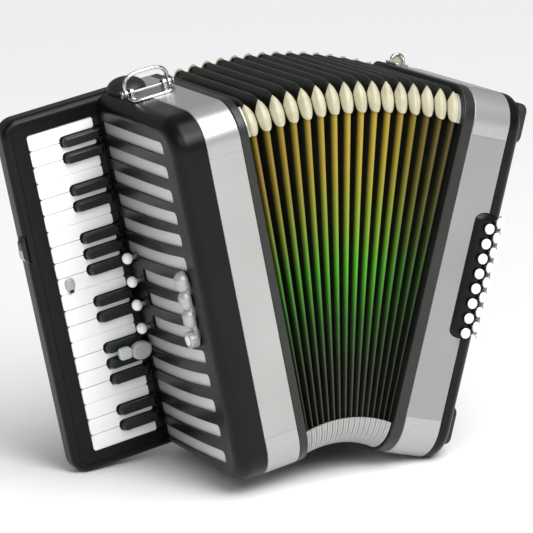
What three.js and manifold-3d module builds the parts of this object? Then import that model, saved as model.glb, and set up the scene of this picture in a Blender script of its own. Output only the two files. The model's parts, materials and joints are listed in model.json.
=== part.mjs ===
// A piano accordion with 34 piano keys and 32 bass buttons, standing with its bellows fanned open.
// Millimetres, +Z up. X runs along the bellows, with the treble (right-hand) side at -X and the bass side
// at +X, and -Y is the side that faces the audience. The origin is under the middle of the whole instrument.
//
// Each half is drawn upright in a group of its own, and the two groups are then turned apart about the
// fan line, which runs along Y under the middle of the closed bellows.
import * as THREE from "three";
import { mergeVertices } from "three/addons/utils/BufferGeometryUtils.js";
import Module from "manifold-3d";

const wasm = await Module();
wasm.setup();

// The two boxes and the bellows between them.
const boxHeight = 400;
const frontCorner = 36; // radius of the boxes' front corners, seen along X
const backCorner = 14;
const front = -100;
const back = 117;
const gap = 0.3; // between touching pieces

const foldCount = 16;
const foldPitch = 5.5; // one closed fold
const bellowsHalf = (foldCount * foldPitch) / 2;
const fanAngle = THREE.MathUtils.degToRad(25.8);
const ridgeInset = 5; // fold edges stand this far inside the boxes' outline
const foldDepth = 16;
const foldSheet = 5; // measured across the outline; the steep flanks are 1 to 2 mm thick

// Distances outwards from the bellows, on the treble side.
const trebleFrame = 10;
const trebleCase = 48.5;
const coverOuter = 82;
const coverRound = 16; // radius of the grille cover's outer edge
const keyboardOuter = 191;
const keyboardCorner = 20;

// Distances outwards from the bellows, on the bass side.
const bassFrame = 13;
const bassCase = 57.7;
const bassOuter = 75.5;
const bassRound = 12;

const caseWall = 8;
const coverWall = 2.5;
const frameWall = 24;
const boardThickness = 6;

// The keyboard.
const whiteCount = 20;
const keyMargin = 21; // border above and below the keys
const keyGap = 0.9;
const whitePitch = (boxHeight - 2 * keyMargin) / whiteCount;
const keyboardFront = 92; // y of the border around the keys
const whiteTop = 94;
const blackTop = 86;
const keyUnder = 105;
const bedFloor = 110;
const keyInner = coverOuter + 4; // where the keys come out from under the grille cover
const whiteLength = 78.5;
const blackLength = 42;
const blackWidth = 10.6;
const blackClearance = 0.6;
const axleOut = 66;
const axleY = 99.5;
const axleRadius = 1.5;
const hubFront = 95; // the keys' hubs on the axle, in y
const hubBack = 104;
const leverBend = 86; // y of the bend between a key's hub and its lever
const leverInner = trebleCase + 3.3;
const leverOuter = leverInner + 3.5;
const leverWidth = 2.4;
const palletWidth = 12;
const palletLength = 24;
const whitePalletY = 40;
const blackPalletY = 0;
const hasBlackBelow = "GACDF"; // a black key follows these notes, and none follows B or E
const octave = "GABCDEF";

// The grille.
const slotCount = 14;
const slotPitch = 26.5;
const slotTop = 366;
const slotHeight = 15;
const slotRear = 86;
const slotRearBeside = 56; // beside the registers
const slotFront = -66;
// How far each slot curves up towards the front, from the top slot down.
const slotRises = [1.5, 2, 3, 6, 9, 10, 10.5, 12, 13, 14, 14, 12, 10, 7];

// Registers.
const registerCount = 4;
const registerPitch = 26.5;
const registerTop = 225;
const registerY = 70;
const knobRadius = 6.3;
const registerTravel = 3.4; // room between the knobs and the cover
const slideTop = 233;
const slideLength = 80;
const slideY = -58;

// The bass buttons stand on a drum let into the front outer edge.
const buttonColumns = 4;
const buttonRows = 8;
const buttonPitch = 16.2;
const buttonStagger = 4; // every other column stands this much higher, and the rest as much lower
const drumRadius = 24;
const drumWall = 2.5;
const drumOut = bassOuter - 20;
const drumY = -80;
const drumBottom = 136;
const drumTop = 276;
const firstColumn = THREE.MathUtils.degToRad(2);
const columnStep = THREE.MathUtils.degToRad(27);
const buttonRadius = 5.2;

// The air button, on the bass end cover.
const airZ = 300;
const airY = -48;
const airStem = 5;
const airCap = 8;

// Reed blocks: rows of cells that taper away from the board they stand on.
const reedHeight = 30;
const reedFoot = 4;
const reedWide = 13;
const reedNarrow = 6;
const reedEnd = 40; // clear of the top and bottom of the box
const bassReedHeight = 28;
const bassReedWide = 11;
const bassReedNarrow = 5;
const bassReedRows = [-16, 16, 48];

// Straps and their fittings.
const strapY = 15;
const strapWidth = 54;
const strapBottom = 60;
const strapTop = 340;
const strapBulge = 34;
const strapThickness = 3.2;
const bracketY = 28;
const bailInner = 22;
const bailOuter = 72;
const bailHeight = 19;
const bailWire = 2.2;
const bailPivot = 9; // above the top of the box

const paint = {
  black: new THREE.MeshStandardMaterial({ color: "#1c1c1c", roughness: 0.35 }),
  silver: new THREE.MeshStandardMaterial({ color: "#b9b9b7", roughness: 0.35, metalness: 0.4 }),
  frame: new THREE.MeshStandardMaterial({ color: "#3a3b39", roughness: 0.4 }),
  white: new THREE.MeshStandardMaterial({ color: "#f6f6f4", roughness: 0.25 }),
  chrome: new THREE.MeshStandardMaterial({ color: "#d8d8d8", roughness: 0.15, metalness: 1 }),
  wood: new THREE.MeshStandardMaterial({ color: "#b58a56", roughness: 0.6 }),
  cloth: new THREE.MeshStandardMaterial({ color: "#20221c", roughness: 0.7 }),
  leather: new THREE.MeshStandardMaterial({ color: "#161616", roughness: 0.6 }),
};

// --- Solids ---

function solid(geometry) {
  const bare = geometry.index ? geometry.toNonIndexed() : geometry.clone();
  bare.deleteAttribute("normal");
  bare.deleteAttribute("uv");
  const merged = mergeVertices(bare, 1e-4);
  return new wasm.Manifold(
    new wasm.Mesh({
      numProp: 3,
      vertProperties: merged.attributes.position.array,
      triVerts: new Uint32Array(merged.index.array),
    }),
  );
}

function geometryOf(body) {
  const made = body.getMesh();
  const geometry = new THREE.BufferGeometry();
  geometry.setAttribute("position", new THREE.BufferAttribute(made.vertProperties, 3));
  geometry.setIndex(new THREE.BufferAttribute(made.triVerts, 1));
  return geometry;
}

function mesh(name, body, material) {
  const made = new THREE.Mesh(geometryOf(body), material);
  made.name = name;
  return made;
}

const xAxis = new THREE.Vector3(1, 0, 0);
const yAxis = new THREE.Vector3(0, 1, 0);
const zAxis = new THREE.Vector3(0, 0, 1);

// An outline drawn in (y, z), carried from low to high along X.
function alongX(shape, low, high, options = {}) {
  const geometry = new THREE.ExtrudeGeometry(shape, {
    depth: high - low,
    bevelEnabled: false,
    curveSegments: 3,
    ...options,
  });
  geometry.applyMatrix4(new THREE.Matrix4().makeBasis(yAxis, zAxis, xAxis));
  return solid(geometry.translate(low, 0, 0));
}

// An outline drawn in (x, z), carried from low to high along Y.
function alongY(shape, low, high, options = {}) {
  const geometry = new THREE.ExtrudeGeometry(shape, {
    depth: high - low,
    bevelEnabled: false,
    curveSegments: 3,
    ...options,
  });
  const basis = new THREE.Matrix4().makeBasis(xAxis, zAxis, yAxis.clone().negate());
  geometry.applyMatrix4(basis);
  return solid(geometry.translate(0, high, 0));
}

// An outline drawn in (x, y), carried from low to high along Z.
function alongZ(shape, low, high) {
  const geometry = new THREE.ExtrudeGeometry(shape, {
    depth: high - low,
    bevelEnabled: false,
    curveSegments: 3,
  });
  return solid(geometry.translate(0, 0, low));
}

function box(x0, x1, y0, y1, z0, z1) {
  const geometry = new THREE.BoxGeometry(x1 - x0, y1 - y0, z1 - z0);
  return solid(geometry.translate((x0 + x1) / 2, (y0 + y1) / 2, (z0 + z1) / 2));
}

// A cylinder from one point to another.
function rod(start, end, radius, sides = 12) {
  const axis = new THREE.Vector3().subVectors(end, start);
  const geometry = new THREE.CylinderGeometry(radius, radius, axis.length(), sides);
  const turn = new THREE.Quaternion().setFromUnitVectors(yAxis, axis.clone().normalize());
  geometry.applyQuaternion(turn);
  const middle = new THREE.Vector3().addVectors(start, end).multiplyScalar(0.5);
  return solid(geometry.translate(middle.x, middle.y, middle.z));
}

function polygon(points) {
  return new THREE.Shape(points.map(([a, b]) => new THREE.Vector2(a, b)));
}

// A rectangle with its own radius at each corner, listed from the low-low corner anticlockwise.
function roundedRect(a0, a1, b0, b1, [r0, r1, r2, r3]) {
  const shape = new THREE.Shape();
  shape.moveTo(a0 + r0, b0);
  shape.lineTo(a1 - r1, b0);
  shape.absarc(a1 - r1, b0 + r1, r1, -Math.PI / 2, 0);
  shape.lineTo(a1, b1 - r2);
  shape.absarc(a1 - r2, b1 - r2, r2, 0, Math.PI / 2);
  shape.lineTo(a0 + r3, b1);
  shape.absarc(a0 + r3, b1 - r3, r3, Math.PI / 2, Math.PI);
  shape.lineTo(a0, b0 + r0);
  shape.absarc(a0 + r0, b0 + r0, r0, Math.PI, (3 * Math.PI) / 2);
  return shape;
}

// The boxes' outline in (y, z), moved inwards by inset.
function boxOutline(inset) {
  const frontRadius = Math.max(frontCorner - inset, 4);
  const backRadius = Math.max(backCorner - inset, 4);
  const radii = [frontRadius, backRadius, backRadius, frontRadius];
  return roundedRect(front + inset, back - inset, inset, boxHeight - inset, radii);
}

// A ring of the boxes' outline between two distances along X.
function ring(low, high, wall) {
  const outside = alongX(boxOutline(0), low, high);
  return outside.subtract(alongX(boxOutline(wall), low - 1, high + 1));
}

// The grille cover's outline runs on behind the keyboard, where it is cut off square.
function coverOutline(inset) {
  const radius = Math.max(frontCorner - inset, 4);
  return roundedRect(front + inset, back + 40, inset, boxHeight - inset, [radius, 24, 24, radius]);
}

// A block of an outline with a rounded outer edge at x = outer; inner is its flat side.
function roundedBlock(outlineOf, inner, outer, inset, radius) {
  const low = Math.min(inner, outer);
  const high = Math.max(inner, outer);
  const bevel = { bevelEnabled: true, bevelThickness: radius, bevelSize: radius };
  const options = { ...bevel, bevelOffset: -radius, bevelSegments: 3 };
  const spare = 2 * radius; // the inner edge is made too long, and its rounding is cut off
  const from = outer < inner ? low + radius : low - spare;
  const to = outer < inner ? high + spare : high - radius;
  const block = alongX(outlineOf(inset), from, to, options);
  const keepFrom = outer < inner ? low - 1 : low;
  const keepTo = outer < inner ? high : high + 1;
  return block.intersect(box(keepFrom, keepTo, front - 1, back + 50, -1, boxHeight + 1));
}

// Treble and bass distances outwards from the bellows, as x.
const trebleX = (out) => -bellowsHalf - out;
const bassX = (out) => bellowsHalf + out;

// --- Treble box ---

function trebleBellowsFrame() {
  return ring(trebleX(trebleFrame), trebleX(gap), frameWall);
}

function trebleCaseBody() {
  return ring(trebleX(trebleCase), trebleX(trebleFrame + gap), caseWall);
}

function slotShape(middle, rear, rise) {
  const low = middle - slotHeight / 2;
  const high = middle + slotHeight / 2;
  const half = (rear + slotFront) / 2;
  const round = 5;
  const shape = new THREE.Shape();
  shape.moveTo(rear, low);
  shape.lineTo(rear, high);
  shape.quadraticCurveTo(half, high, slotFront + round, high + rise);
  shape.lineTo(slotFront, high + rise - round);
  shape.lineTo(slotFront, low + rise + round);
  shape.lineTo(slotFront + round, low + rise);
  shape.quadraticCurveTo(half, low, rear, low);
  return shape;
}

function trebleGrilleCover() {
  const inner = trebleX(trebleCase + gap);
  const outer = trebleX(coverOuter);
  const hollow = [inner + 5, outer + coverWall, coverWall, coverRound - coverWall];
  const shell = roundedBlock(coverOutline, inner, outer, 0, coverRound).subtract(
    roundedBlock(coverOutline, ...hollow),
  );
  const behind = box(outer - 1, inner + 1, keyboardFront - gap, back + 50, -1, boxHeight + 1);
  let cover = shell.subtract(behind);
  for (let i = 0; i < slotCount; i++) {
    const middle = slotTop - i * slotPitch;
    const besideRegisters = middle < registerTop + 8 && middle > registerTop - 88;
    const shape = slotShape(middle, besideRegisters ? slotRearBeside : slotRear, slotRises[i]);
    cover = cover.subtract(alongX(shape, outer - 2, outer + coverWall + 2));
  }
  for (let i = 0; i < registerCount; i++) {
    const z = registerTop - i * registerPitch;
    const from = new THREE.Vector3(outer - 3, registerY, z);
    const to = new THREE.Vector3(outer + 6, registerY, z);
    cover = cover.subtract(rod(from, to, 3.6));
  }
  return cover;
}

function trebleSoundboard() {
  const outer = trebleX(trebleCase - 0.5);
  const inner = outer + boardThickness;
  let board = alongX(boxOutline(caseWall + gap), outer, inner);
  for (const key of keyLayout()) {
    const y = key.black ? blackPalletY : whitePalletY;
    const halfLength = palletLength / 2 - 3;
    const halfWidth = palletWidth / 2 - 2.5;
    const low = key.lever - halfWidth;
    const high = key.lever + halfWidth;
    board = board.subtract(box(outer - 1, inner + 1, y - halfLength, y + halfLength, low, high));
  }
  return board;
}

// Two rows of reed cells, joined by the plate that screws them to the soundboard.
function trebleReedBlock() {
  const top = trebleX(trebleCase - 0.5) + boardThickness + gap;
  const z0 = reedEnd;
  const z1 = boxHeight - reedEnd;
  let block = box(top, top + reedFoot, blackPalletY - 22, whitePalletY + 22, z0, z1);
  for (const y of [blackPalletY, whitePalletY]) {
    const shape = polygon([
      [top + reedFoot - 1, y - reedWide],
      [top + reedHeight, y - reedNarrow],
      [top + reedHeight, y + reedNarrow],
      [top + reedFoot - 1, y + reedWide],
    ]);
    block = block.add(alongZ(shape, z0, z1));
  }
  return block;
}

// --- Keyboard ---

// Each key's place down the keyboard: its whole width, its narrow tail between the black keys, and its
// lever's height.
function keyLayout() {
  const keys = [];
  const top = boxHeight - keyMargin;
  for (let i = 0; i < whiteCount; i++) {
    const note = octave[i % octave.length];
    const before = octave[(i + octave.length - 1) % octave.length];
    const high = top - i * whitePitch - keyGap / 2;
    const low = top - (i + 1) * whitePitch + keyGap / 2;
    const notch = blackWidth / 2 + blackClearance - keyGap / 2;
    const blackAbove = i > 0 && hasBlackBelow.includes(before);
    const blackBelow = i < whiteCount - 1 && hasBlackBelow.includes(note);
    const tailHigh = blackAbove ? high - notch : high;
    const tailLow = blackBelow ? low + notch : low;
    keys.push({ black: false, low, high, tailLow, tailHigh, lever: (tailLow + tailHigh) / 2 });
    if (blackBelow) {
      const middle = low - keyGap / 2;
      const half = blackWidth / 2;
      keys.push({ black: true, low: middle - half, high: middle + half, lever: middle });
    }
  }
  return keys;
}

// The lever that runs from a key's hub along the soundboard to its pallet.
function lever(z, palletY) {
  const end = palletY - palletLength / 2 + 2;
  const arm = polygon([
    [trebleX(axleOut + 3), hubFront + 3],
    [trebleX(axleOut - 4), hubFront + 3],
    [trebleX(leverInner), leverBend],
    [trebleX(leverInner), end],
    [trebleX(leverOuter), end],
    [trebleX(leverOuter), leverBend - 2],
  ]);
  const face = trebleX(trebleCase - 0.5) - gap;
  const pallet = box(
    face - 4,
    face,
    palletY - palletLength / 2,
    palletY + palletLength / 2,
    z - palletWidth / 2,
    z + palletWidth / 2,
  );
  return alongZ(arm, z - leverWidth / 2, z + leverWidth / 2).add(pallet);
}

function axleBore(z0, z1) {
  const from = new THREE.Vector3(trebleX(axleOut), axleY, z0);
  const to = new THREE.Vector3(trebleX(axleOut), axleY, z1);
  return rod(from, to, axleRadius + 0.5, 8);
}

function whiteKey(key) {
  const outer = trebleX(keyInner + whiteLength);
  const shoulder = trebleX(keyInner + blackLength + 1.5);
  const inner = trebleX(axleOut + 3);
  const outline = polygon([
    [outer + 1.5, key.low],
    [shoulder, key.low],
    [shoulder, key.tailLow],
    [inner, key.tailLow],
    [inner, key.tailHigh],
    [shoulder, key.tailHigh],
    [shoulder, key.high],
    [outer + 1.5, key.high],
    [outer, key.high - 1.5],
    [outer, key.low + 1.5],
  ]);
  const plate = alongY(outline, whiteTop, keyUnder);
  const hub = box(inner - 2, trebleX(axleOut - 4), hubFront, hubBack, key.tailLow, key.tailHigh);
  const body = plate.add(hub).add(lever(key.lever, whitePalletY));
  return body.subtract(axleBore(key.low - 1, key.high + 1));
}

function blackKey(key) {
  const tip = trebleX(keyInner + blackLength);
  const profile = polygon([
    [tip, keyUnder],
    [tip, blackTop + 4],
    [tip + 3, blackTop],
    [trebleX(coverOuter + 3), blackTop + 0.5],
    [trebleX(coverOuter + 2.5), whiteTop],
    [trebleX(axleOut - 4), hubFront],
    [trebleX(axleOut - 4), hubBack],
    [trebleX(axleOut + 3), keyUnder],
  ]);
  const body = alongZ(profile, key.low, key.high);
  return body.add(lever(key.lever, blackPalletY)).subtract(axleBore(key.low - 1, key.high + 1));
}

function keyboardBed() {
  const outer = trebleX(keyboardOuter);
  const inner = trebleX(trebleCase + gap);
  const soft = 5;
  const radii = [keyboardCorner, 8, 8, keyboardCorner];
  const outline = roundedRect(outer, inner + 15, 0, boxHeight, radii);
  const bevel = { bevelEnabled: true, bevelThickness: soft, bevelSize: soft, bevelOffset: -soft };
  const options = { ...bevel, bevelSegments: 3 };
  const slab = alongY(outline, keyboardFront + soft, back - soft, options);
  const kept = box(outer - 1, inner, front, back + 1, -1, boxHeight + 1);
  const recess = box(
    trebleX(keyInner + whiteLength + 0.8),
    trebleX(trebleCase + 3),
    keyboardFront - 1,
    bedFloor,
    keyMargin - 0.5,
    boxHeight - keyMargin + 0.5,
  );
  const bore = axleBore(keyMargin - 9, boxHeight - keyMargin + 9);
  return slab.intersect(kept).subtract(recess).subtract(bore);
}

function keyAxle() {
  const from = new THREE.Vector3(trebleX(axleOut), axleY, keyMargin - 8);
  const to = new THREE.Vector3(trebleX(axleOut), axleY, boxHeight - keyMargin + 8);
  return rod(from, to, axleRadius, 8);
}

// --- Registers ---

function registerButton(index) {
  const z = registerTop - index * registerPitch;
  const face = trebleX(coverOuter);
  const from = new THREE.Vector3(face + 6, registerY, z);
  const to = new THREE.Vector3(face - 5, registerY, z);
  const stem = rod(from, to, 3.2);
  const middle = face - registerTravel - knobRadius * 0.8;
  const dome = new THREE.SphereGeometry(knobRadius, 10, 6).translate(middle, registerY, z);
  const flat = box(face - registerTravel, face + 10, registerY - 9, registerY + 9, z - 9, z + 9);
  return solid(dome).subtract(flat).add(stem);
}

// Three rounded knobs and a disc on one bar that slides along the grille.
function registerSlide() {
  const face = trebleX(coverOuter) - gap;
  const bottom = slideTop - slideLength;
  const outline = roundedRect(slideY - 6, slideY + 6, bottom, slideTop, [6, 6, 6, 6]);
  let slide = alongX(outline, face - 4, face);
  for (let i = 0; i < 3; i++) {
    const knob = new THREE.SphereGeometry(8, 10, 6);
    knob.scale(1, 0.95, 1.3);
    const z = slideTop - 8 - i * 20;
    const above = box(face - 30, face - 1, slideY - 20, slideY + 20, z - 20, z + 20);
    slide = slide.add(solid(knob.translate(face - 4, slideY, z)).intersect(above));
  }
  const from = new THREE.Vector3(face - 11, slideY, bottom + 9);
  const to = new THREE.Vector3(face - 1, slideY, bottom + 9);
  return slide.add(rod(from, to, 9, 18));
}

// --- Shoulder strap fitting on the treble box ---

function strapBracket() {
  const inner = trebleX(bailInner - 6);
  const outer = trebleX(bailOuter - 2);
  const low = boxHeight + gap;
  const outline = roundedRect(outer, inner, bracketY - 14, bracketY + 14, [9, 9, 9, 9]);
  let bracket = alongZ(outline, low, low + 3);
  const pivotZ = boxHeight + bailPivot;
  for (const out of [bailInner + 2.5, bailOuter - 6.5]) {
    const ear = box(trebleX(out + 4), trebleX(out), bracketY - 5, bracketY + 5, low + 1, pivotZ + 4.5);
    bracket = bracket.add(ear);
  }
  const from = new THREE.Vector3(trebleX(bailOuter), bracketY, pivotZ);
  const to = new THREE.Vector3(trebleX(bailInner - 2), bracketY, pivotZ);
  return bracket.add(rod(from, to, 1.5, 10));
}

function bailCurve() {
  const points = [];
  const steps = 12;
  const middle = (bailInner + bailOuter) / 2;
  const half = (bailOuter - bailInner) / 2;
  for (let i = 0; i <= steps; i++) {
    const turn = (Math.PI * i) / steps;
    const out = middle - half * Math.sign(Math.cos(turn)) * Math.abs(Math.cos(turn)) ** 0.6;
    const rise = (bailHeight - bailWire) * Math.sin(turn) ** 0.7;
    points.push(new THREE.Vector3(trebleX(out), bracketY, boxHeight + bailPivot + 2.6 + rise));
  }
  return new THREE.CatmullRomCurve3(points);
}

function strapBail() {
  const section = new THREE.Shape().absarc(0, 0, bailWire, 0, 2 * Math.PI);
  const path = { steps: 16, extrudePath: bailCurve(), curveSegments: 3 };
  let bail = solid(new THREE.ExtrudeGeometry(section, path));
  const pivotZ = boxHeight + bailPivot;
  for (const out of [bailInner, bailOuter]) {
    const from = new THREE.Vector3(trebleX(out + 1.8), bracketY, pivotZ);
    const to = new THREE.Vector3(trebleX(out - 1.8), bracketY, pivotZ);
    bail = bail.add(rod(from, to, 4.2, 14));
  }
  const from = new THREE.Vector3(trebleX(bailOuter + 9), bracketY, pivotZ);
  const to = new THREE.Vector3(trebleX(bailInner - 9), bracketY, pivotZ);
  return bail.subtract(rod(from, to, 1.9, 10));
}

// --- Bellows ---

// The fan's turn at a share of the way from the treble side to the bass side.
const fanTurn = (share) => -trebleTilt + share * (trebleTilt + bassTilt);

// One closed strip of folded card: an outer and an inner zigzag, joined at both ends. Section k of the
// closed stack is turned about the fan line by its own share of the fan.
function bellows() {
  const sections = 2 * foldCount;
  const rings = [];
  const outsideSteps = [...Array(sections + 1).keys()];
  const insideSteps = [...outsideSteps].reverse();
  const addRing = (k, extra) => {
    const share = k / sections;
    const inset = ridgeInset + extra + (k % 2 ? 0 : foldDepth);
    const ends = k === 0 ? gap : k === sections ? -gap : 0;
    const x = -bellowsHalf + 2 * bellowsHalf * share + ends;
    const turn = fanTurn(share);
    const outline = boxOutline(inset).extractPoints(1).shape;
    const placed = outline.map((p) => new THREE.Vector3(x, p.x, p.y).applyAxisAngle(yAxis, turn));
    rings.push(placed);
  };
  outsideSteps.forEach((k) => addRing(k, 0));
  insideSteps.forEach((k) => addRing(k, foldSheet));
  const count = rings[0].length;
  const index = [];
  rings.forEach((_, r) => {
    const next = (r + 1) % rings.length;
    for (let i = 0; i < count; i++) {
      const j = (i + 1) % count;
      index.push(r * count + i, r * count + j, next * count + j);
      index.push(r * count + i, next * count + j, next * count + i);
    }
  });
  const geometry = new THREE.BufferGeometry();
  const positions = rings.flat().flatMap((p) => [p.x, p.y, p.z]);
  geometry.setAttribute("position", new THREE.Float32BufferAttribute(positions, 3));
  geometry.setIndex(index);
  return solid(geometry);
}

// --- Bass box ---

function drumCut() {
  const x = bassX(drumOut);
  const from = new THREE.Vector3(x, drumY, drumBottom - gap);
  const to = new THREE.Vector3(x, drumY, drumTop + gap);
  return rod(from, to, drumRadius + 0.5, 24);
}

function bassBellowsFrame() {
  return ring(bassX(gap), bassX(bassFrame), frameWall);
}

// The bass case has a floor, which carries the reed block and the machine.
function bassCaseBody() {
  const inner = bassX(bassFrame + gap);
  const outer = bassX(bassCase);
  const shell = alongX(boxOutline(0), inner, outer);
  const hollow = alongX(boxOutline(caseWall), inner - 1, outer - boardThickness);
  return shell.subtract(hollow).subtract(drumCut());
}

function bassEndCover() {
  const inner = bassX(bassCase + gap);
  const outer = bassX(bassOuter);
  const shell = roundedBlock(boxOutline, inner, outer, 0, bassRound).subtract(
    roundedBlock(boxOutline, inner - 5, outer - coverWall, coverWall, bassRound - coverWall),
  );
  const from = new THREE.Vector3(outer - 6, airY, airZ);
  const to = new THREE.Vector3(outer + 3, airY, airZ);
  return shell.subtract(drumCut()).subtract(rod(from, to, airStem + 0.5, 14));
}

// Columns of buttons fan out round the drum from the front face to the end.
function columnTurn(column) {
  return firstColumn + column * columnStep;
}

// A block at the front of the drum, carried round to its column.
function atColumn(column, body) {
  const turn = THREE.MathUtils.radToDeg(columnTurn(column));
  return body.rotate([0, 0, turn]).translate([bassX(drumOut), drumY, 0]);
}

function drumProfile(radius, low, high, soft) {
  const points = [
    [0, low],
    [radius - soft, low],
    [radius - soft * 0.3, low + soft * 0.3],
    [radius, low + soft],
    [radius, high - soft],
    [radius - soft * 0.3, high - soft * 0.3],
    [radius - soft, high],
    [0, high],
  ];
  const lathe = new THREE.LatheGeometry(
    points.map(([r, z]) => new THREE.Vector2(r, z)),
    24,
  );
  return solid(lathe.rotateX(Math.PI / 2));
}

const buttonsMiddle = (drumBottom + drumTop) / 2;
const columnHalf = ((buttonRows - 1) * buttonPitch) / 2;

// The height of a column's lowest button.
function columnLow(column) {
  return buttonsMiddle - columnHalf + (column % 2 ? buttonStagger : -buttonStagger);
}

function bassButtonBoard() {
  let drum = drumProfile(drumRadius, drumBottom, drumTop, 6);
  drum = drum.subtract(drumProfile(drumRadius - drumWall, drumBottom + drumWall, drumTop - drumWall, 4));
  drum = drum.translate([bassX(drumOut), drumY, 0]);
  for (let column = 0; column < buttonColumns; column++) {
    const low = columnLow(column) - 3.4;
    const high = columnLow(column) + 2 * columnHalf + 3.4;
    const slot = box(-3, 3, -drumRadius - 2, -drumRadius + drumWall + 1.5, low, high);
    drum = drum.subtract(atColumn(column, slot));
  }
  return drum;
}

// Eight buttons on one inner bar.
function bassButtonRow(column) {
  const low = columnLow(column);
  let row = box(-1.3, 1.3, -19, -15.5, low - 3, low + 2 * columnHalf + 3);
  for (let i = 0; i < buttonRows; i++) {
    const z = low + i * buttonPitch;
    const root = new THREE.Vector3(0, -17, z);
    const neck = new THREE.Vector3(0, -drumRadius - 4.4, z);
    const capBack = new THREE.Vector3(0, -drumRadius - 3.6, z);
    const capFace = new THREE.Vector3(0, -drumRadius - 6.2, z);
    row = row.add(rod(root, neck, 2.2, 6)).add(rod(capBack, capFace, buttonRadius, 10));
  }
  return atColumn(column, row);
}

function bassReedBlock() {
  const floor = bassX(bassCase) - boardThickness - gap;
  const z0 = reedEnd + 10;
  const z1 = boxHeight - z0;
  let block = box(floor - reedFoot, floor, -34, 66, z0, z1);
  for (const y of bassReedRows) {
    const shape = polygon([
      [floor - bassReedHeight, y - bassReedNarrow],
      [floor - reedFoot + 1, y - bassReedWide],
      [floor - reedFoot + 1, y + bassReedWide],
      [floor - bassReedHeight, y + bassReedNarrow],
    ]);
    block = block.add(alongZ(shape, z0, z1));
  }
  return block;
}

// The hand strap: one band that bows out from the end cover and is fixed at its two ends.
function bassHandStrap() {
  const face = bassX(bassOuter) + gap;
  const middle = (strapBottom + strapTop) / 2;
  const outside = [];
  const inside = [];
  const steps = 16;
  for (let i = 0; i <= steps; i++) {
    const share = i / steps;
    const z = strapBottom + (strapTop - strapBottom) * share;
    const bow = strapBulge * Math.sin(Math.PI * share) ** 0.8;
    outside.push([face + strapThickness + bow, z]);
    inside.push([face + bow, z + ((middle - z) / middle) * 1.2]);
  }
  inside[0] = [face, strapBottom];
  inside[steps] = [face, strapTop];
  const band = polygon([...outside, ...inside.reverse()]);
  return alongY(band, strapY - strapWidth / 2, strapY + strapWidth / 2);
}

function airButton() {
  const face = bassX(bassOuter);
  const root = new THREE.Vector3(face - 8, airY, airZ);
  const neck = new THREE.Vector3(face + 5, airY, airZ);
  const capBack = new THREE.Vector3(face + 4.4, airY, airZ);
  const capFace = new THREE.Vector3(face + 8.4, airY, airZ);
  return rod(root, neck, airStem, 14).add(rod(capBack, capFace, airCap, 18));
}

// --- Assembly ---

// The instrument stands on the keyboard's bottom outer edge and the bass cover's bottom outer edge. Each
// is a rounded edge, so its lowest point is its centre turned about the fan line, less its radius. The
// fan is shared between the halves so that both are at the same height.
function lowestPoint(reach, radius, tilt) {
  return -(reach - radius) * Math.sin(tilt) + radius * Math.cos(tilt) - radius;
}

function shareOfFan() {
  let low = 0;
  let high = fanAngle;
  for (let i = 0; i < 40; i++) {
    const tilt = (low + high) / 2;
    const treble = lowestPoint(bellowsHalf + keyboardOuter, keyboardCorner, tilt);
    const bass = lowestPoint(bellowsHalf + bassOuter, bassRound, fanAngle - tilt);
    if (treble > bass) low = tilt;
    else high = tilt;
  }
  return (low + high) / 2;
}

const trebleTilt = shareOfFan();
const bassTilt = fanAngle - trebleTilt;

const treble = new THREE.Group();
treble.rotation.y = -trebleTilt;
treble.add(mesh("treble_bellows_frame", trebleBellowsFrame(), paint.frame));
treble.add(mesh("treble_case", trebleCaseBody(), paint.silver));
treble.add(mesh("treble_grille_cover", trebleGrilleCover(), paint.black));
treble.add(mesh("treble_soundboard", trebleSoundboard(), paint.wood));
treble.add(mesh("treble_reed_block", trebleReedBlock(), paint.wood));
treble.add(mesh("keyboard_bed", keyboardBed(), paint.black));
treble.add(mesh("key_axle", keyAxle(), paint.chrome));
const twoDigits = (number) => String(number).padStart(2, "0");
const counted = { white: 0, black: 0 };
for (const key of keyLayout()) {
  const colour = key.black ? "black" : "white";
  counted[colour] += 1;
  const name = `${colour}_key_${twoDigits(counted[colour])}`;
  treble.add(mesh(name, key.black ? blackKey(key) : whiteKey(key), paint[colour]));
}
for (let i = 0; i < registerCount; i++) {
  treble.add(mesh(`register_button_${i + 1}`, registerButton(i), paint.white));
}
treble.add(mesh("register_slide", registerSlide(), paint.chrome));
treble.add(mesh("strap_bracket", strapBracket(), paint.chrome));
treble.add(mesh("strap_bail", strapBail(), paint.chrome));

const bass = new THREE.Group();
bass.rotation.y = bassTilt;
bass.add(mesh("bass_bellows_frame", bassBellowsFrame(), paint.frame));
bass.add(mesh("bass_case", bassCaseBody(), paint.silver));
bass.add(mesh("bass_end_cover", bassEndCover(), paint.black));
bass.add(mesh("bass_button_board", bassButtonBoard(), paint.black));
for (let column = 0; column < buttonColumns; column++) {
  bass.add(mesh(`bass_button_row_${column + 1}`, bassButtonRow(column), paint.white));
}
bass.add(mesh("bass_reed_block", bassReedBlock(), paint.wood));
bass.add(mesh("bass_hand_strap", bassHandStrap(), paint.leather));
bass.add(mesh("air_button", airButton(), paint.black));

const accordion = new THREE.Group();
accordion.add(treble, bass, mesh("bellows", bellows(), paint.cloth));
accordion.updateMatrixWorld(true);

// The origin goes under the middle of the instrument, at the height of what it stands on.
const extent = new THREE.Box3().setFromObject(accordion, true);
const middle = extent.getCenter(new THREE.Vector3());
accordion.position.set(-middle.x, -middle.y, -extent.min.z);

const root = new THREE.Group();
root.add(accordion);
export default root;
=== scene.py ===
import json
import math
from functools import partial

import bpy
import numpy as np
from mathutils import Matrix


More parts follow.
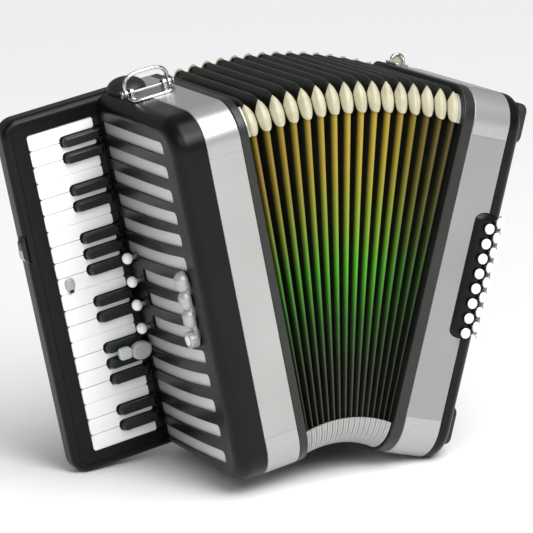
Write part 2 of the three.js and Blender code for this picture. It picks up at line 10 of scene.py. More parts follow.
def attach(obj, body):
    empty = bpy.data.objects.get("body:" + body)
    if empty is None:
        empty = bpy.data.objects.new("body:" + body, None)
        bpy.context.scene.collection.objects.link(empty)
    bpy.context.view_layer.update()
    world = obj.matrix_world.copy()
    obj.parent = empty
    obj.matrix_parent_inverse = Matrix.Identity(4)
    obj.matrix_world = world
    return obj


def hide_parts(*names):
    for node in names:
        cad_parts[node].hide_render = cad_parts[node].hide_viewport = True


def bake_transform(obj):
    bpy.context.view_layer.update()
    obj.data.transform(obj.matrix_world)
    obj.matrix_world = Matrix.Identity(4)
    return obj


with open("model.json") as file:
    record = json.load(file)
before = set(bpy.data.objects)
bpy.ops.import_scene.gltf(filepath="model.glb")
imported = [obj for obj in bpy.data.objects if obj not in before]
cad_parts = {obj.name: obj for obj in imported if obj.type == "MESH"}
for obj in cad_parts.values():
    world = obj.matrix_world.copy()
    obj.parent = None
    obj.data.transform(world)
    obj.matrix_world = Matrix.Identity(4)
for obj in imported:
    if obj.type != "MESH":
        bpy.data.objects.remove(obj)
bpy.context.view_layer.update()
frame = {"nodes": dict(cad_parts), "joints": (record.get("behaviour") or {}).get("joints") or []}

# Each half of the instrument is drawn upright and in millimetres: x from the line that the bellows fans
# about, y from the middle of the depth, z from the underside. place() leans it as the frame leans it.

joints = {joint["name"]: joint for joint in frame["joints"]}
fanLine = np.array(joints["bellows_fan"]["pos_m"], float)
across = {
    "treble": np.array(joints["register_button_1_press"]["axis"], float),
    "bass": -np.array(joints["air_button_press"]["axis"], float),
}
backwards = np.array([0.0, 1.0, 0.0])
axes = {side: np.array([x, backwards, np.cross(x, backwards)]) for side, x in across.items()}


def place(points, side):
    # metres in the frame: the fan line plus the millimetres along the leaning axes, over 1000
    return fanLine + points / 1000 @ axes[side]


def localBox(node, side):
    # a node's corners in its own half's upright millimetres
    mesh = frame["nodes"][node].data
    corners = np.empty(len(mesh.vertices) * 3, np.float32)
    mesh.vertices.foreach_get("co", corners)
    upright = (corners.reshape(-1, 3) - fanLine) @ axes[side].T * 1000
    return upright.min(0), upright.max(0)


# shapes, in millimetres


def roundedPath(corners, radii, arcSteps=6):
    # Each corner becomes an arc: its centre lies radius / cos(half the turn) back along the mean of the
    # two sides' outward directions, and the arc's points are centre + radius * direction.
    corners = np.asarray(corners, float)
    radii = np.broadcast_to(np.asarray(radii, float), len(corners)).copy()
    side = np.roll(corners, -1, 0) - corners
    side /= np.linalg.norm(side, axis=1)[:, None]
    after = np.stack([side[:, 1], -side[:, 0]], 1)
    before = np.roll(after, 1, 0)
    cross = before[:, 0] * after[:, 1] - before[:, 1] * after[:, 0]
    dot = (before * after).sum(1)
    turn = np.arctan2(cross, dot)
    signed = radii * np.sign(turn)
    centre = corners - signed[:, None] * (before + after) / (1 + dot)[:, None]
    start = np.arctan2(before[:, 1], before[:, 0])
    angle = start[:, None] + turn[:, None] * np.linspace(0, 1, arcSteps + 1)
    normals = np.stack([np.cos(angle), np.sin(angle)], 2)
    points = centre[:, None] + signed[:, None, None] * normals
    return points.reshape(-1, 2), normals.reshape(-1, 2)


def refined(path, longest):
    # extra points at even steps along a closed path, the first ones kept
    closed = np.vstack([path, path[:1]])
    length = np.r_[0, np.cumsum(np.linalg.norm(np.diff(closed, axis=0), axis=1))]
    even = np.linspace(0, length[-1], int(length[-1] / longest) + 1)[1:-1]
    gaps = np.abs(even[:, None] - length[None]).min(1)
    stations = np.sort(np.r_[length[:-1], even[gaps > longest / 4]])
    return np.stack([np.interp(stations, length, closed[:, k]) for k in (0, 1)], 1)


def onAxis(a, b, level, axis):
    # outline coordinates a, b and the level along the axis, as x, y, z
    order = {"x": (level, a, b), "y": (a, level, b), "z": (a, b, level)}[axis]
    return np.stack(np.broadcast_arrays(*order), -1)


def lofted(rows, around=True, ends=True, loop=False):
    # A grid of quads through rows of points. around closes each row, loop joins the last row to the
    # first, and ends fills the first and last row with one face each.
    count, width = rows.shape[:2]
    down = np.arange(count if loop else count - 1)
    along = np.arange(width if around else width - 1)
    i, j = (grid.ravel() for grid in np.meshgrid(down, along, indexing="ij"))
    nextRow, nextPoint = (i + 1) % count, (j + 1) % width
    here, there = i * width, nextRow * width
    quads = np.stack([here + j, here + nextPoint, there + nextPoint, there + j], 1)
    points = rows.reshape(-1, 3)
    faces = quads.tolist()
    if ends and not loop:
        faces.append(list(range(width))[::-1])
        faces.append(list(range((count - 1) * width, count * width)))
    # signed volume: six times the sum of corner . (corner x corner), which is positive facing outwards
    middle = points.mean(0)
    a, b, c, d = (points[quads[:, k]] - middle for k in range(4))
    volume = (a * np.cross(b, c)).sum() + (a * np.cross(c, d)).sum()
    if ends and not loop:
        for face, sign in ((rows[0], -1), (rows[-1], 1)):
            fan = face - middle
            volume += sign * (fan[0] * np.cross(fan[1:-1], fan[2:])).sum()
    if volume < 0:
        faces = [face[::-1] for face in faces]
    return points, faces


def softProfile(low, high, softLow, softHigh, steps=4):
    # A straight side with a quarter circle at each end: how far the outline moves in, and the level.
    turn = np.linspace(0, np.pi / 2, steps + 1)
    inset = np.r_[softLow * (1 - np.sin(turn)), softHigh * (1 - np.cos(turn))]
    level = np.r_[low + softLow * (1 - np.cos(turn)), high - softHigh * (1 - np.sin(turn))]
    return inset, level


def slab(corners, radii, axis, low, high, soft=0.4, arcSteps=5, softSteps=3):
    # a flat piece: an outline carried from low to high, with both its edges rounded
    softLow, softHigh = soft if isinstance(soft, tuple) else (soft, soft)
    path, normals = roundedPath(corners, radii, arcSteps)
    inset, level = softProfile(low, high, softLow, softHigh, softSteps)
    rows = path[None] - inset[:, None, None] * normals[None]
    return lofted(onAxis(rows[..., 0], rows[..., 1], level[:, None], axis))


def rectangle(a0, a1, b0, b1):
    # the four corners between two values of a and two of b
    return [(a0, b0), (a1, b0), (a1, b1), (a0, b1)]


def revolved(profile, axis, centre, steps=32):
    # a profile of (radius, level) turned about a line along the axis through the centre
    profile = np.asarray(profile, float)
    angle = np.linspace(0, 2 * np.pi, steps, endpoint=False)
    a = centre[0] + profile[:, :1] * np.cos(angle)
    b = centre[1] + profile[:, :1] * np.sin(angle)
    return lofted(onAxis(a, b, profile[:, 1:], axis))


pinhole = 0.3  # the innermost ring of a turned piece, which one face then fills
sharpAngle = 38  # degrees between faces, past which their edge is drawn sharp
cutPlan = {"segments": 2, "leastAngle": 42}


def discProfile(radius, low, high, soft, crown=0.0, steps=5):
    # a disc's side with rounded edges; the crown lifts its middle
    inset, level = softProfile(low, high, soft, soft, steps)
    ring = np.stack([radius - inset, level], 1)
    inner = np.linspace(1, 0.04, 6)[1:] * (radius - soft)
    lift = high + crown * (1 - (inner / (radius - soft)) ** 2)
    return np.vstack([[pinhole, low], ring, np.stack([inner, lift], 1)])


def tube(path, radius, sides=14):
    # A round section square to a path: two directions square to each step are found from a fixed one.
    path = np.asarray(path, float)
    radius = np.broadcast_to(radius, len(path))
    tangent = np.gradient(path, axis=0)
    tangent /= np.linalg.norm(tangent, axis=1)[:, None]
    spread = path.max(0) - path.min(0)
    fixed = np.eye(3)[np.argmin(spread)]
    first = np.cross(tangent, fixed)
    first /= np.linalg.norm(first, axis=1)[:, None]
    second = np.cross(tangent, first)
    angle = np.linspace(0, 2 * np.pi, sides, endpoint=False)
    ring = first[:, None] * np.cos(angle)[None, :, None] + second[:, None] * np.sin(angle)[None, :, None]
    return lofted(path[:, None] + radius[:, None, None] * ring)


def cylinder(radius, low, high, axis, centre, steps):
    # a plain cylinder to cut with
    profile = [(pinhole, low), (radius, low), (radius, high), (pinhole, high)]
    return revolved(profile, axis, centre, steps)


def moved(surface, function):
    # the same faces on points that the function has moved
    points, faces = surface
    return function(points), faces


def mirrored(surface, signs):
    # each coordinate times its sign, and the faces turned round
    points, faces = surface
    return points * signs, [face[::-1] for face in faces]


def linked(name, data):
    # a new object in the scene
    thing = bpy.data.objects.new(name, data)
    bpy.context.scene.collection.objects.link(thing)
    return thing


def turnTo(thing, right, up, back, spot):
    # the matrix whose columns are the directions right, up and back, and the spot
    turned = np.eye(4)
    turned[:3] = np.stack([right, up, back, spot], 1)
    thing.matrix_world = Matrix(turned.tolist())


def setValue(piece, name, values):
    # one number per point, for a material to read
    piece.data.attributes.new(name, "FLOAT", "POINT").data.foreach_set("value", values.astype(np.float32))


def keepFlat(piece):
    # normals weighted by area, so that flat faces stay flat beside their rounded edges
    piece.modifiers.new("flatFacesStayFlat", "WEIGHTED_NORMAL").keep_sharp = True


def finished(
    name, surfaces, materials, body, side=None, replaces=(), sharp=sharpAngle, weighted=True,
):
    # One piece from several surfaces, each with the number of its material.
    points, faces, numbers = [], [], []
    total = 0
    for (corners, polygons), number in surfaces:
        points.append(corners)
        faces += [[index + total for index in face] for face in polygons]
        numbers += [number] * len(polygons)
        total += len(corners)
    joined = np.vstack(points)
    placed = joined / 1000 if side is None else place(joined, side)
    mesh = bpy.data.meshes.new(name)
    mesh.from_pydata(placed.tolist(), [], faces)
    for material in materials:
        mesh.materials.append(material)
    mesh.polygons.foreach_set("material_index", numbers)
    mesh.shade_smooth()
    mesh.set_sharp_from_angle(angle=math.radians(sharp))
    piece = linked(name, mesh)
    if body:
        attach(piece, body)
    if replaces:
        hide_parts(*replaces)
    if weighted:
        keepFlat(piece)
    return piece


def applyModifiers(piece):
    # the piece's mesh becomes what its modifiers make of it
    graph = bpy.context.evaluated_depsgraph_get()
    mesh = bpy.data.meshes.new_from_object(piece.evaluated_get(graph))
    mesh.name = piece.name
    piece.modifiers.clear()
    piece.data = mesh


def cutOut(piece, cutters, side, edge=0.5):
    # The cutters' space is taken out of the piece, and its new edges are rounded by edge.
    tool = finished("cutter", [(cutter, 0) for cutter in cutters], [], None, side, weighted=False)
    piece.modifiers.clear()
    difference = piece.modifiers.new("cut", "BOOLEAN")
    difference.operation = "DIFFERENCE"
    difference.solver = "EXACT"
    difference.object = tool
    softened = piece.modifiers.new("softened", "BEVEL")
    softened.width = edge / 1000
    softened.segments = cutPlan["segments"]
    softened.limit_method = "ANGLE"
    softened.angle_limit = math.radians(cutPlan["leastAngle"])
    softened.use_clamp_overlap = True
    applyModifiers(piece)
    bpy.data.objects.remove(tool)
    piece.data.shade_smooth()
    piece.data.set_sharp_from_angle(angle=math.radians(sharpAngle))
    keepFlat(piece)


# materials


def linear(colour):
    # sRGB to linear: values over 0.04045 are ((value + 0.055) / 1.055) to the power 2.4
    value = np.array([int(colour[k : k + 2], 16) / 255 for k in (1, 3, 5)])
    straight = np.where(value > 0.04045, ((value + 0.055) / 1.055) ** 2.4, value / 12.92)
    return (*straight.tolist(), 1.0)


def addNode(tree, kind, inputs=None, links=None, stops=None, **settings):
    # one node: its settings, input values, links and colour stops
    node = tree.nodes.new(kind)
    for key, value in settings.items():
        setattr(node, key, value)
    for key, value in (inputs or {}).items():
        node.inputs[key].default_value = value
    for key, socket in (links or {}).items():
        tree.links.new(socket, node.inputs[key])
    if stops:
        elements = node.color_ramp.elements
        while len(elements) < len(stops):
            elements.new(1.0)
        for element, (position, colour) in zip(elements, stops):
            element.position = position
            element.color = linear(colour)
    return node


def newMaterial(name):
    # a material, its nodes, its shader and object coordinates
    material = bpy.data.materials.new(name)
    material.use_nodes = True
    tree = material.node_tree
    tree.nodes.clear()
    shader = addNode(tree, "ShaderNodeBsdfPrincipled")
    addNode(tree, "ShaderNodeOutputMaterial", links={"Surface": shader.outputs["BSDF"]})
    place3d = addNode(tree, "ShaderNodeTexCoord")
    return material, tree, shader, place3d.outputs["Object"]


def dress(tree, shader, look, tint, grain, ends=(0.3, 0.7)):
    # The tint picks between two close shades. The grain spreads the roughness about its middle and lifts
    # the bump, whose height is in millimetres.
    stops = [(ends[0], look["colour"]), (ends[1], look["second"])]
    shade = addNode(tree, "ShaderNodeValToRGB", links={"Fac": tint}, stops=stops)
    tree.links.new(shade.outputs["Color"], shader.inputs["Base Color"])
    lift = {"Strength": look["bump"], "Distance": look["height"] / 1000}
    bump = addNode(tree, "ShaderNodeBump", lift, {"Height": grain}, invert=look.get("invert", False))
    tree.links.new(bump.outputs["Normal"], shader.inputs["Normal"])
    if not look["spread"]:
        shader.inputs["Roughness"].default_value = look["rough"]
        return
    reach = {"To Min": look["rough"] - look["spread"], "To Max": look["rough"] + look["spread"]}
    rough = addNode(tree, "ShaderNodeMapRange", reach, {"Value": grain})
    tree.links.new(rough.outputs["Result"], shader.inputs["Roughness"])


def noiseOf(tree, where, size, detail):
    # soft noise whose features have the size, in millimetres
    settings = {"Scale": 1000 / size, "Detail": detail}
    return addNode(tree, "ShaderNodeTexNoise", settings, {"Vector": where}).outputs["Fac"]


def mouldedMaterial(name, look):
    # soft clouds of two close shades, and a fine grain
    material, tree, shader, where = newMaterial(name)
    clouds = noiseOf(tree, where, look["cloud"], 3.0)
    dress(tree, shader, look, clouds, noiseOf(tree, where, look["grain"], 4.0))
    for socket, value in look.get("shader", {}).items():
        shader.inputs[socket].default_value = value
    return material


def stretchedNoise(tree, where, sizes, **settings):
    # noise whose features have the given sizes along x, y and z, in millimetres
    scale = {"Scale": tuple(1000 / size for size in sizes)}
    stretch = addNode(tree, "ShaderNodeMapping", scale, {"Vector": where})
    links = {"Vector": stretch.outputs["Vector"]}
    noise = addNode(tree, "ShaderNodeTexNoise", {"Scale": 1.0, **settings}, links)
    return noise.outputs["Fac"]


def scratchedMetal(name, look):
    # plated or drawn metal: long fine scratches
    material, tree, shader, where = newMaterial(name)
    lines = stretchedNoise(tree, where, look["scratch"], Detail=5.0)
    dress(tree, shader, look, lines, lines, (0.35, 0.65))
    shader.inputs["Metallic"].default_value = look["metallic"]
    return material


def leatherMaterial(name, look):
    # full-grain leather: pebbles from a cell pattern, the creases between them lower and duller
    material, tree, shader, where = newMaterial(name)
    size = {"Scale": 1000 / look["pebble"], "Smoothness": 0.6}
    cells = addNode(tree, "ShaderNodeTexVoronoi", size, {"Vector": where}, feature="SMOOTH_F1")
    wear = noiseOf(tree, where, look["wear"], 4.0)
    dress(tree, shader, look, wear, cells.outputs["Distance"], (0.35, 0.75))
    return material


def woodMaterial(name, look):
    # planed wood: rings stretched along the grain
    material, tree, shader, where = newMaterial(name)
    sizes = (look["ring"], look["ring"], look["length"])
    rings = stretchedNoise(tree, where, sizes, Detail=6.0, Distortion=0.6)
    dress(tree, shader, look, rings, rings)
    return material


def wovenMaterial(name, look):
    # Two sets of threads at right angles on the piece's own UV map, which is in millimetres.
    material, tree, shader, _ = newMaterial(name)
    flat = addNode(tree, "ShaderNodeUVMap", uv_map="cloth").outputs["UV"]
    waves = []
    for direction in ("X", "Y"):
        thread = {"Scale": 0.314 / look["thread"], "Distortion": 0.4, "Detail": 1.0}
        wave = addNode(tree, "ShaderNodeTexWave", thread, {"Vector": flat}, bands_direction=direction)
        waves.append(wave.outputs["Fac"])
    weave = addNode(tree, "ShaderNodeMath", links={0: waves[0], 1: waves[1]}, operation="MAXIMUM")
    # painted light: the cloth's colour runs from painted shade at the rear to a lit front
    depth = addNode(tree, "ShaderNodeAttribute", attribute_name="litFrontShare")
    stops = [(0.0, look["rear"]), (1.0, look["front"])]
    clothPaintedLight = addNode(tree, "ShaderNodeValToRGB", links={"Fac": depth.outputs["Fac"]}, stops=stops)
    shadow = addNode(tree, "ShaderNodeMapRange", {"To Min": 0.82, "To Max": 1.0}, {"Value": weave.outputs[0]})
    parts = {0: clothPaintedLight.outputs["Color"], "Scale": shadow.outputs["Result"]}
    shaded = addNode(tree, "ShaderNodeVectorMath", links=parts, operation="SCALE")
    tree.links.new(shaded.outputs["Vector"], shader.inputs["Base Color"])
    bump = addNode(tree, "ShaderNodeBump", {"Strength": 0.35, "Distance": 0.0002}, {"Height": weave.outputs[0]})
    tree.links.new(bump.outputs["Normal"], shader.inputs["Normal"])
    shader.inputs["Roughness"].default_value = 0.55
    return material


def bellowsMaterial(name, look):
    # Black book cloth with a coloured tape along each fold's edge. Four values follow the surface: foldEdge
    # is 0 on the edge and 1 in the valley, foldHeight runs up the box, fanShare across the fan, and
    # frontFace is 1 where the fold faces the audience.
    material, tree, shader, where = newMaterial(name)
    edge, height, share, facing = (
        addNode(tree, "ShaderNodeAttribute", attribute_name=value).outputs["Fac"]
        for value in ("foldEdge", "foldHeight", "fanShare", "frontFace")
    )
    tape = addNode(tree, "ShaderNodeValToRGB", links={"Fac": height}, stops=look["tape"])
    # painted light across the fan: the tape is brightest in the middle, with painted shade towards both ends,
    # darkest at the bass end
    fanPaintedLight = addNode(tree, "ShaderNodeValToRGB", links={"Fac": share}, stops=look["across"])
    parts = {0: tape.outputs["Color"], 1: fanPaintedLight.outputs["Color"]}
    tapeInPaintedLight = addNode(tree, "ShaderNodeVectorMath", links=parts, operation="MULTIPLY")
    fade = {"From Min": look["tapeEdge"] + 0.1, "From Max": look["tapeEdge"] - 0.1}
    taped = addNode(tree, "ShaderNodeMapRange", fade, {"Value": edge})
    parts = {0: taped.outputs["Result"], 1: facing}
    onFront = addNode(tree, "ShaderNodeMath", links=parts, operation="MULTIPLY")
    cloth = noiseOf(tree, where, look["wear"], 3.0)
    blackCloth = addNode(tree, "ShaderNodeValToRGB", links={"Fac": cloth}, stops=look["cloth"])
    colour = addNode(tree, "ShaderNodeMix", data_type="RGBA")
    tree.links.new(onFront.outputs[0], colour.inputs[0])
    tree.links.new(blackCloth.outputs["Color"], colour.inputs[6])
    tree.links.new(tapeInPaintedLight.outputs["Vector"], colour.inputs[7])
    tree.links.new(colour.outputs[2], shader.inputs["Base Color"])
    threads = noiseOf(tree, where, look["thread"], 2.0)
    bump = addNode(tree, "ShaderNodeBump", {"Strength": 0.3, "Distance": 0.0002}, {"Height": threads})
    tree.links.new(bump.outputs["Normal"], shader.inputs["Normal"])
    rough = addNode(tree, "ShaderNodeMapRange", {"To Min": 0.3, "To Max": 0.42}, {"Value": threads})
    tree.links.new(rough.outputs["Result"], shader.inputs["Roughness"])
    return material


# deep black with broad, soft highlights
blackCelluloid = mouldedMaterial("Polished black celluloid", {
    "colour": "#080808", "second": "#0e0e0e", "cloud": 60, "grain": 1.2, "rough": 0.3, "spread": 0.04,
    "bump": 0.04, "height": 0.05, "shader": {"Specular IOR Level": 0.2},
})
# an even silver grey with a faint metallic lift
silverCelluloid = mouldedMaterial("Satin silver celluloid", {
    "colour": "#9fa09d", "second": "#a8a9a6", "cloud": 90, "grain": 0.5, "rough": 0.36, "spread": 0.05,
    "bump": 0.06, "height": 0.04, "shader": {"Metallic": 0.25},
})
# the same silver, painted a little darker on the bass side as painted shade
silverWithPaintedShade = mouldedMaterial("Satin silver celluloid, darker by painted shade", {
    "colour": "#8a8b89", "second": "#929391", "cloud": 90, "grain": 0.5, "rough": 0.36, "spread": 0.05,
    "bump": 0.06, "height": 0.04, "shader": {"Metallic": 0.25},
})
# a bright band where the sheet goes round the corner
cornerAluminium = scratchedMetal("Polished aluminium corner sheet", {
    "colour": "#a8a8a7", "second": "#ababaa", "rough": 0.27, "spread": 0.01, "bump": 0.003,
    "height": 0.1, "scratch": (0.5, 0.5, 90), "metallic": 0.5,
})
# greenish charcoal with a dull shine
frameEnamel = mouldedMaterial("Stoved charcoal enamel", {
    "colour": "#1f211e", "second": "#262824", "cloud": 40, "grain": 0.8, "rough": 0.33, "spread": 0.05,
    "bump": 0.06, "height": 0.05, "shader": {"Specular IOR Level": 0.4},
})
# clean white under a thin gloss
whiteKeyPlastic = mouldedMaterial("Polished white key plastic", {
    "colour": "#f3f4f1", "second": "#f8f8f6", "cloud": 50, "grain": 1.5, "rough": 0.16, "spread": 0.04,
    "bump": 0.03, "height": 0.04, "shader": {"Coat Weight": 0.3, "Coat Roughness": 0.08},
})
# charcoal with a soft light along the crown
blackKeyPlastic = mouldedMaterial("Satin black key plastic", {
    "colour": "#161717", "second": "#1d1e1e", "cloud": 25, "grain": 0.7, "rough": 0.34, "spread": 0.05,
    "bump": 0.05, "height": 0.04, "shader": {"Specular IOR Level": 0.4},
})
# bright white, smooth as a bead
buttonPlastic = mouldedMaterial("Polished white button plastic", {
    "colour": "#f2f2f0", "second": "#fafaf9", "cloud": 20, "grain": 1.0, "rough": 0.18, "spread": 0.04,
    "bump": 0.02, "height": 0.03, "shader": {"Coat Weight": 0.3, "Coat Roughness": 0.08},
})
# plain light grey, half matt
greyKnobPlastic = mouldedMaterial("Moulded grey knob plastic", {
    "colour": "#abadab", "second": "#b4b6b4", "cloud": 15, "grain": 0.8, "rough": 0.35, "spread": 0.05,
    "bump": 0.05, "height": 0.04,
})
# a cooler, paler grey
paleKnobPlastic = mouldedMaterial("Moulded pale blue-grey plastic", {
    "colour": "#bfc7c9", "second": "#c7cfd0", "cloud": 15, "grain": 0.8, "rough": 0.3, "spread": 0.05,
    "bump": 0.05, "height": 0.04,
})
# warm ivory, waxy rather than glossy
creamCelluloid = mouldedMaterial("Ivory celluloid corner", {
    "colour": "#a8a286", "second": "#bbb69d", "cloud": 14, "grain": 0.8, "rough": 0.36, "spread": 0.06,
    "bump": 0.05, "height": 0.05,
})
# matt near-black with open pores
stainedWood = mouldedMaterial("Black stained lime wood", {
    "colour": "#121110", "second": "#1b1917", "cloud": 12, "grain": 0.5, "rough": 0.6, "spread": 0.08,
    "bump": 0.15, "height": 0.08,
})
# black fibres without a highlight
blackFelt = mouldedMaterial("Pressed black felt", {
    "colour": "#0b0b0b", "second": "#141414", "cloud": 8, "grain": 0.35, "rough": 0.9, "spread": 0.05,
    "bump": 0.5, "height": 0.2,
})
# dull black with a soft edge light
blackRubber = mouldedMaterial("Moulded black rubber", {
    "colour": "#131313", "second": "#1b1b1b", "cloud": 20, "grain": 0.5, "rough": 0.6, "spread": 0.08,
    "bump": 0.15, "height": 0.06,
})
# a bright, slightly blurred mirror
chrome = scratchedMetal("Chrome plated steel", {
    "colour": "#bcbcba", "second": "#cdcdcb", "rough": 0.16, "spread": 0.04, "bump": 0.04,
    "height": 0.1, "scratch": (8, 0.6, 0.6), "metallic": 1.0,
})
# a milky silver that blurs what it mirrors
satinNickel = scratchedMetal("Satin nickel plate", {
    "colour": "#a9aaa8", "second": "#b8b9b7", "rough": 0.34, "spread": 0.04, "bump": 0.02,
    "height": 0.1, "scratch": (6, 0.8, 0.8), "metallic": 0.35,
})
# grey steel lined along its length
drawnSteel = scratchedMetal("Drawn steel rod", {
    "colour": "#8f9091", "second": "#a3a4a5", "rough": 0.3, "spread": 0.08, "bump": 0.1,
    "height": 0.1, "scratch": (0.4, 0.4, 12), "metallic": 1.0,
})
# pebbled black, duller in the creases
blackLeather = leatherMaterial("Full-grain black leather", {
    "colour": "#121212", "second": "#1e1d1c", "pebble": 1.6, "wear": 30, "rough": 0.5, "spread": 0.12,
    "bump": 0.45, "height": 0.25, "invert": True,
})
# brown-grey thread with a waxy edge
waxedThread = mouldedMaterial("Waxed linen thread", {
    "colour": "#3b3a37", "second": "#4a4844", "cloud": 5, "grain": 0.3, "rough": 0.6, "spread": 0.08,
    "bump": 0.3, "height": 0.08,
})
# silver cloth with painted light, brighter to the front and painted shade to the rear; its threads are 0.9 mm,
# coarse enough to show
grilleWeave = wovenMaterial("Woven silver grille cloth", {"thread": 0.9, "rear": "#7e7c7a", "front": "#f4f4f3"})
# tan plywood
birchPly = woodMaterial("Sanded birch plywood", {
    "colour": "#c39a63", "second": "#d8b583", "ring": 6, "length": 120, "rough": 0.6, "spread": 0,
    "bump": 0.2, "height": 0.2,
})
# straight-grained honey spruce
spruceWood = woodMaterial("Planed spruce", {
    "colour": "#cfa468", "second": "#e0bf8c", "ring": 3, "length": 90, "rough": 0.6, "spread": 0,
    "bump": 0.2, "height": 0.2,
})
# black cloth between tapes that run from gold over green to charcoal, the tapes under painted light across the
# fan
bellowsCloth = bellowsMaterial("Black book cloth with coloured edge tape", {
    "tape": [(0.0, "#272a25"), (0.22, "#2a3022"), (0.36, "#2e5c16"), (0.5, "#459a14"), (0.62, "#7c9420"),
             (0.76, "#a08c28"), (1.0, "#a88a2e")],
    # across: painted light over the fan, brightest in the middle, painted shade towards the bass end
    "across": [(0.0, "#b4ac90"), (0.25, "#d8d8cc"), (0.5, "#ffffff"), (0.68, "#e4e8d8"), (0.84, "#8a8a7c"),
               (1.0, "#5c5a52")],
    "cloth": [(0.35, "#10110c"), (0.7, "#181915")],
    "tapeEdge": 0.42, "wear": 25, "thread": 0.5,
})
print("materials are ready")

# the camera: at the height of a seated viewer, in front and to the keyboard's side

cameraPlan = {
    "azimuth": math.radians(25.9),
    "elevation": math.radians(14.1),
    "roll": math.radians(-2.9),
    "distance": 3.348,
    "aim": (0.0, -0.0033, 0.2322),
    "aside": -0.0065,
    "lower": -0.0131,
    "lens": 213.7,
}


def addCamera(plan):
    # Looking direction from azimuth and elevation, and right and up turned about it by the roll.
    az, el, roll = plan["azimuth"], plan["elevation"], plan["roll"]
    ahead = np.array([math.sin(az) * math.cos(el), math.cos(az) * math.cos(el), -math.sin(el)])
    level = np.array([math.cos(az), -math.sin(az), 0.0])
    upright = np.array([math.sin(az) * math.sin(el), math.cos(az) * math.sin(el), math.cos(el)])
    right = level * math.cos(roll) + upright * math.sin(roll)
    up = upright * math.cos(roll) - level * math.sin(roll)
    aim = np.array(plan["aim"]) + plan["aside"] * right + plan["lower"] * up
    spot = aim - plan["distance"] * ahead
    data = bpy.data.cameras.new("camera")
    data.lens = plan["lens"]
    data.sensor_width = 36.0
    camera = linked("camera", data)
    turnTo(camera, right, up, -ahead, spot)
    bpy.context.scene.camera = camera


addCamera(cameraPlan)

# the two boxes

boxPlan = {"frontCorner": 36.0, "backCorner": 14.0, "coverCorner": 24.0, "least": 4.0, "arcSteps": 12}
caseLow, caseHigh = localBox("treble_case", "treble")
boxFront, boxBack, boxTop = caseLow[1], caseHigh[1], caseHigh[2]


def boxOutline(inset, runOn=0.0):
    # The boxes' outline in y and z, moved inwards by inset, with each corner's radius less by as much.
    # runOn carries it on backwards, with rounder back corners.
    front = max(boxPlan["frontCorner"] - inset, boxPlan["least"])
    back = max(boxPlan["coverCorner" if runOn else "backCorner"] - inset, boxPlan["least"])
    corners = rectangle(boxFront + inset, boxBack + runOn - inset, inset, boxTop - inset)
    return roundedPath(corners, [front, back, back, front], boxPlan["arcSteps"])[0]


def boxNormals(inset):
    # the outline's outward direction at each of its points
    front = max(boxPlan["frontCorner"] - inset, boxPlan["least"])
    back = max(boxPlan["backCorner"] - inset, boxPlan["least"])
    corners = rectangle(boxFront + inset, boxBack - inset, inset, boxTop - inset)
    return roundedPath(corners, [front, back, back, front], boxPlan["arcSteps"])[1]


def boxRows(inset, level, runOn=0.0):
    # one outline for each pair of inset and level
    return np.stack([onAxis(*boxOutline(i, runOn).T, x, "x") for i, x in zip(inset, level)])


def boxRing(low, high, wall, soft):
    # a ring between two levels: its edges rounded outside, and its wall plain inside
    inset, level = softProfile(low, high, soft, soft)
    return lofted(boxRows(np.r_[inset, wall, wall], np.r_[level, high, low]), loop=True)


def boxShell(inner, outer, wall, roundness, floor=None, runOn=0.0):
    # A box open at its inner side: from the inside of its end, out round the rim, to the outside of its end.
    turn = np.linspace(0, np.pi / 2, 11)
    way = np.sign(outer - inner)
    floor = wall if floor is None else floor
    within = max(roundness - wall, 0.5)
    insideInset = wall + within * (1 - np.sin(turn))
    insideLevel = outer - way * (floor + within * (1 - np.cos(turn)))
    outsideInset = roundness * (1 - np.cos(turn))
    outsideLevel = outer - way * roundness * (1 - np.sin(turn))
    rim = 0.4
    inset = np.r_[insideInset, wall, rim, 0.0, outsideInset]
    level = np.r_[insideLevel, inner, inner, inner + way * rim, outsideLevel]
    return lofted(boxRows(inset, level, runOn))


def cornerSheet(low, high, top, plan):
    # A thin sheet round the top or bottom of a box, proud of it: a band of the outline with two edges.
    path = boxOutline(-plan["proud"])
    half = boxTop / 2
    seam = plan["seam"]
    keep = path[:, 1] > boxTop - seam if top else path[:, 1] < seam
    path = np.roll(path, -np.argmax(keep & ~np.roll(keep, 1)), 0)
    arc = path[: keep.sum()]
    edge = boxTop - seam if top else seam
    straight = np.array([[arc[0, 0], edge], [arc[-1, 0], edge]])
    arc = np.vstack([straight[:1], arc, straight[1:]])
    normal = np.gradient(arc, axis=0)
    normal = np.stack([-normal[:, 1], normal[:, 0]], 1)
    normal /= np.linalg.norm(normal, axis=1)[:, None]
    if (normal[len(arc) // 2] * (arc[len(arc) // 2] - [0, half])).sum() < 0:
        normal = -normal
    inner = arc - normal * (plan["proud"] + 0.2)
    soft = plan["proud"] * 0.8
    section = np.array([
        [low, 0.0], [low, 0.6], [low + soft, 1.0], [high - soft, 1.0], [high, 0.6], [high, 0.0],
    ])
    outline = inner[:, None] + section[None, :, 1:] * (arc - inner)[:, None]
    return lofted(onAxis(outline[..., 0], outline[..., 1], section[None, :, 0], "x"))


sheetPlan = {"proud": 0.45, "seam": 47.0, "edge": 0.5}


def addCornerSheets(side):
    # two thin sheets round the corners of one box, a little short of both its sides
    low, high = localBox(f"{side}_case", side)
    edge = sheetPlan["edge"]
    sheets = [cornerSheet(low[0] + edge, high[0] - edge, top, sheetPlan) for top in (True, False)]
    finished(f"{side}_corner_sheets", [(sheet, 0) for sheet in sheets], [cornerAluminium], side, side)


casePlan = {"rimWall": 24.0, "rimSoft": 1.6, "wall": 8.0, "soft": 0.7}


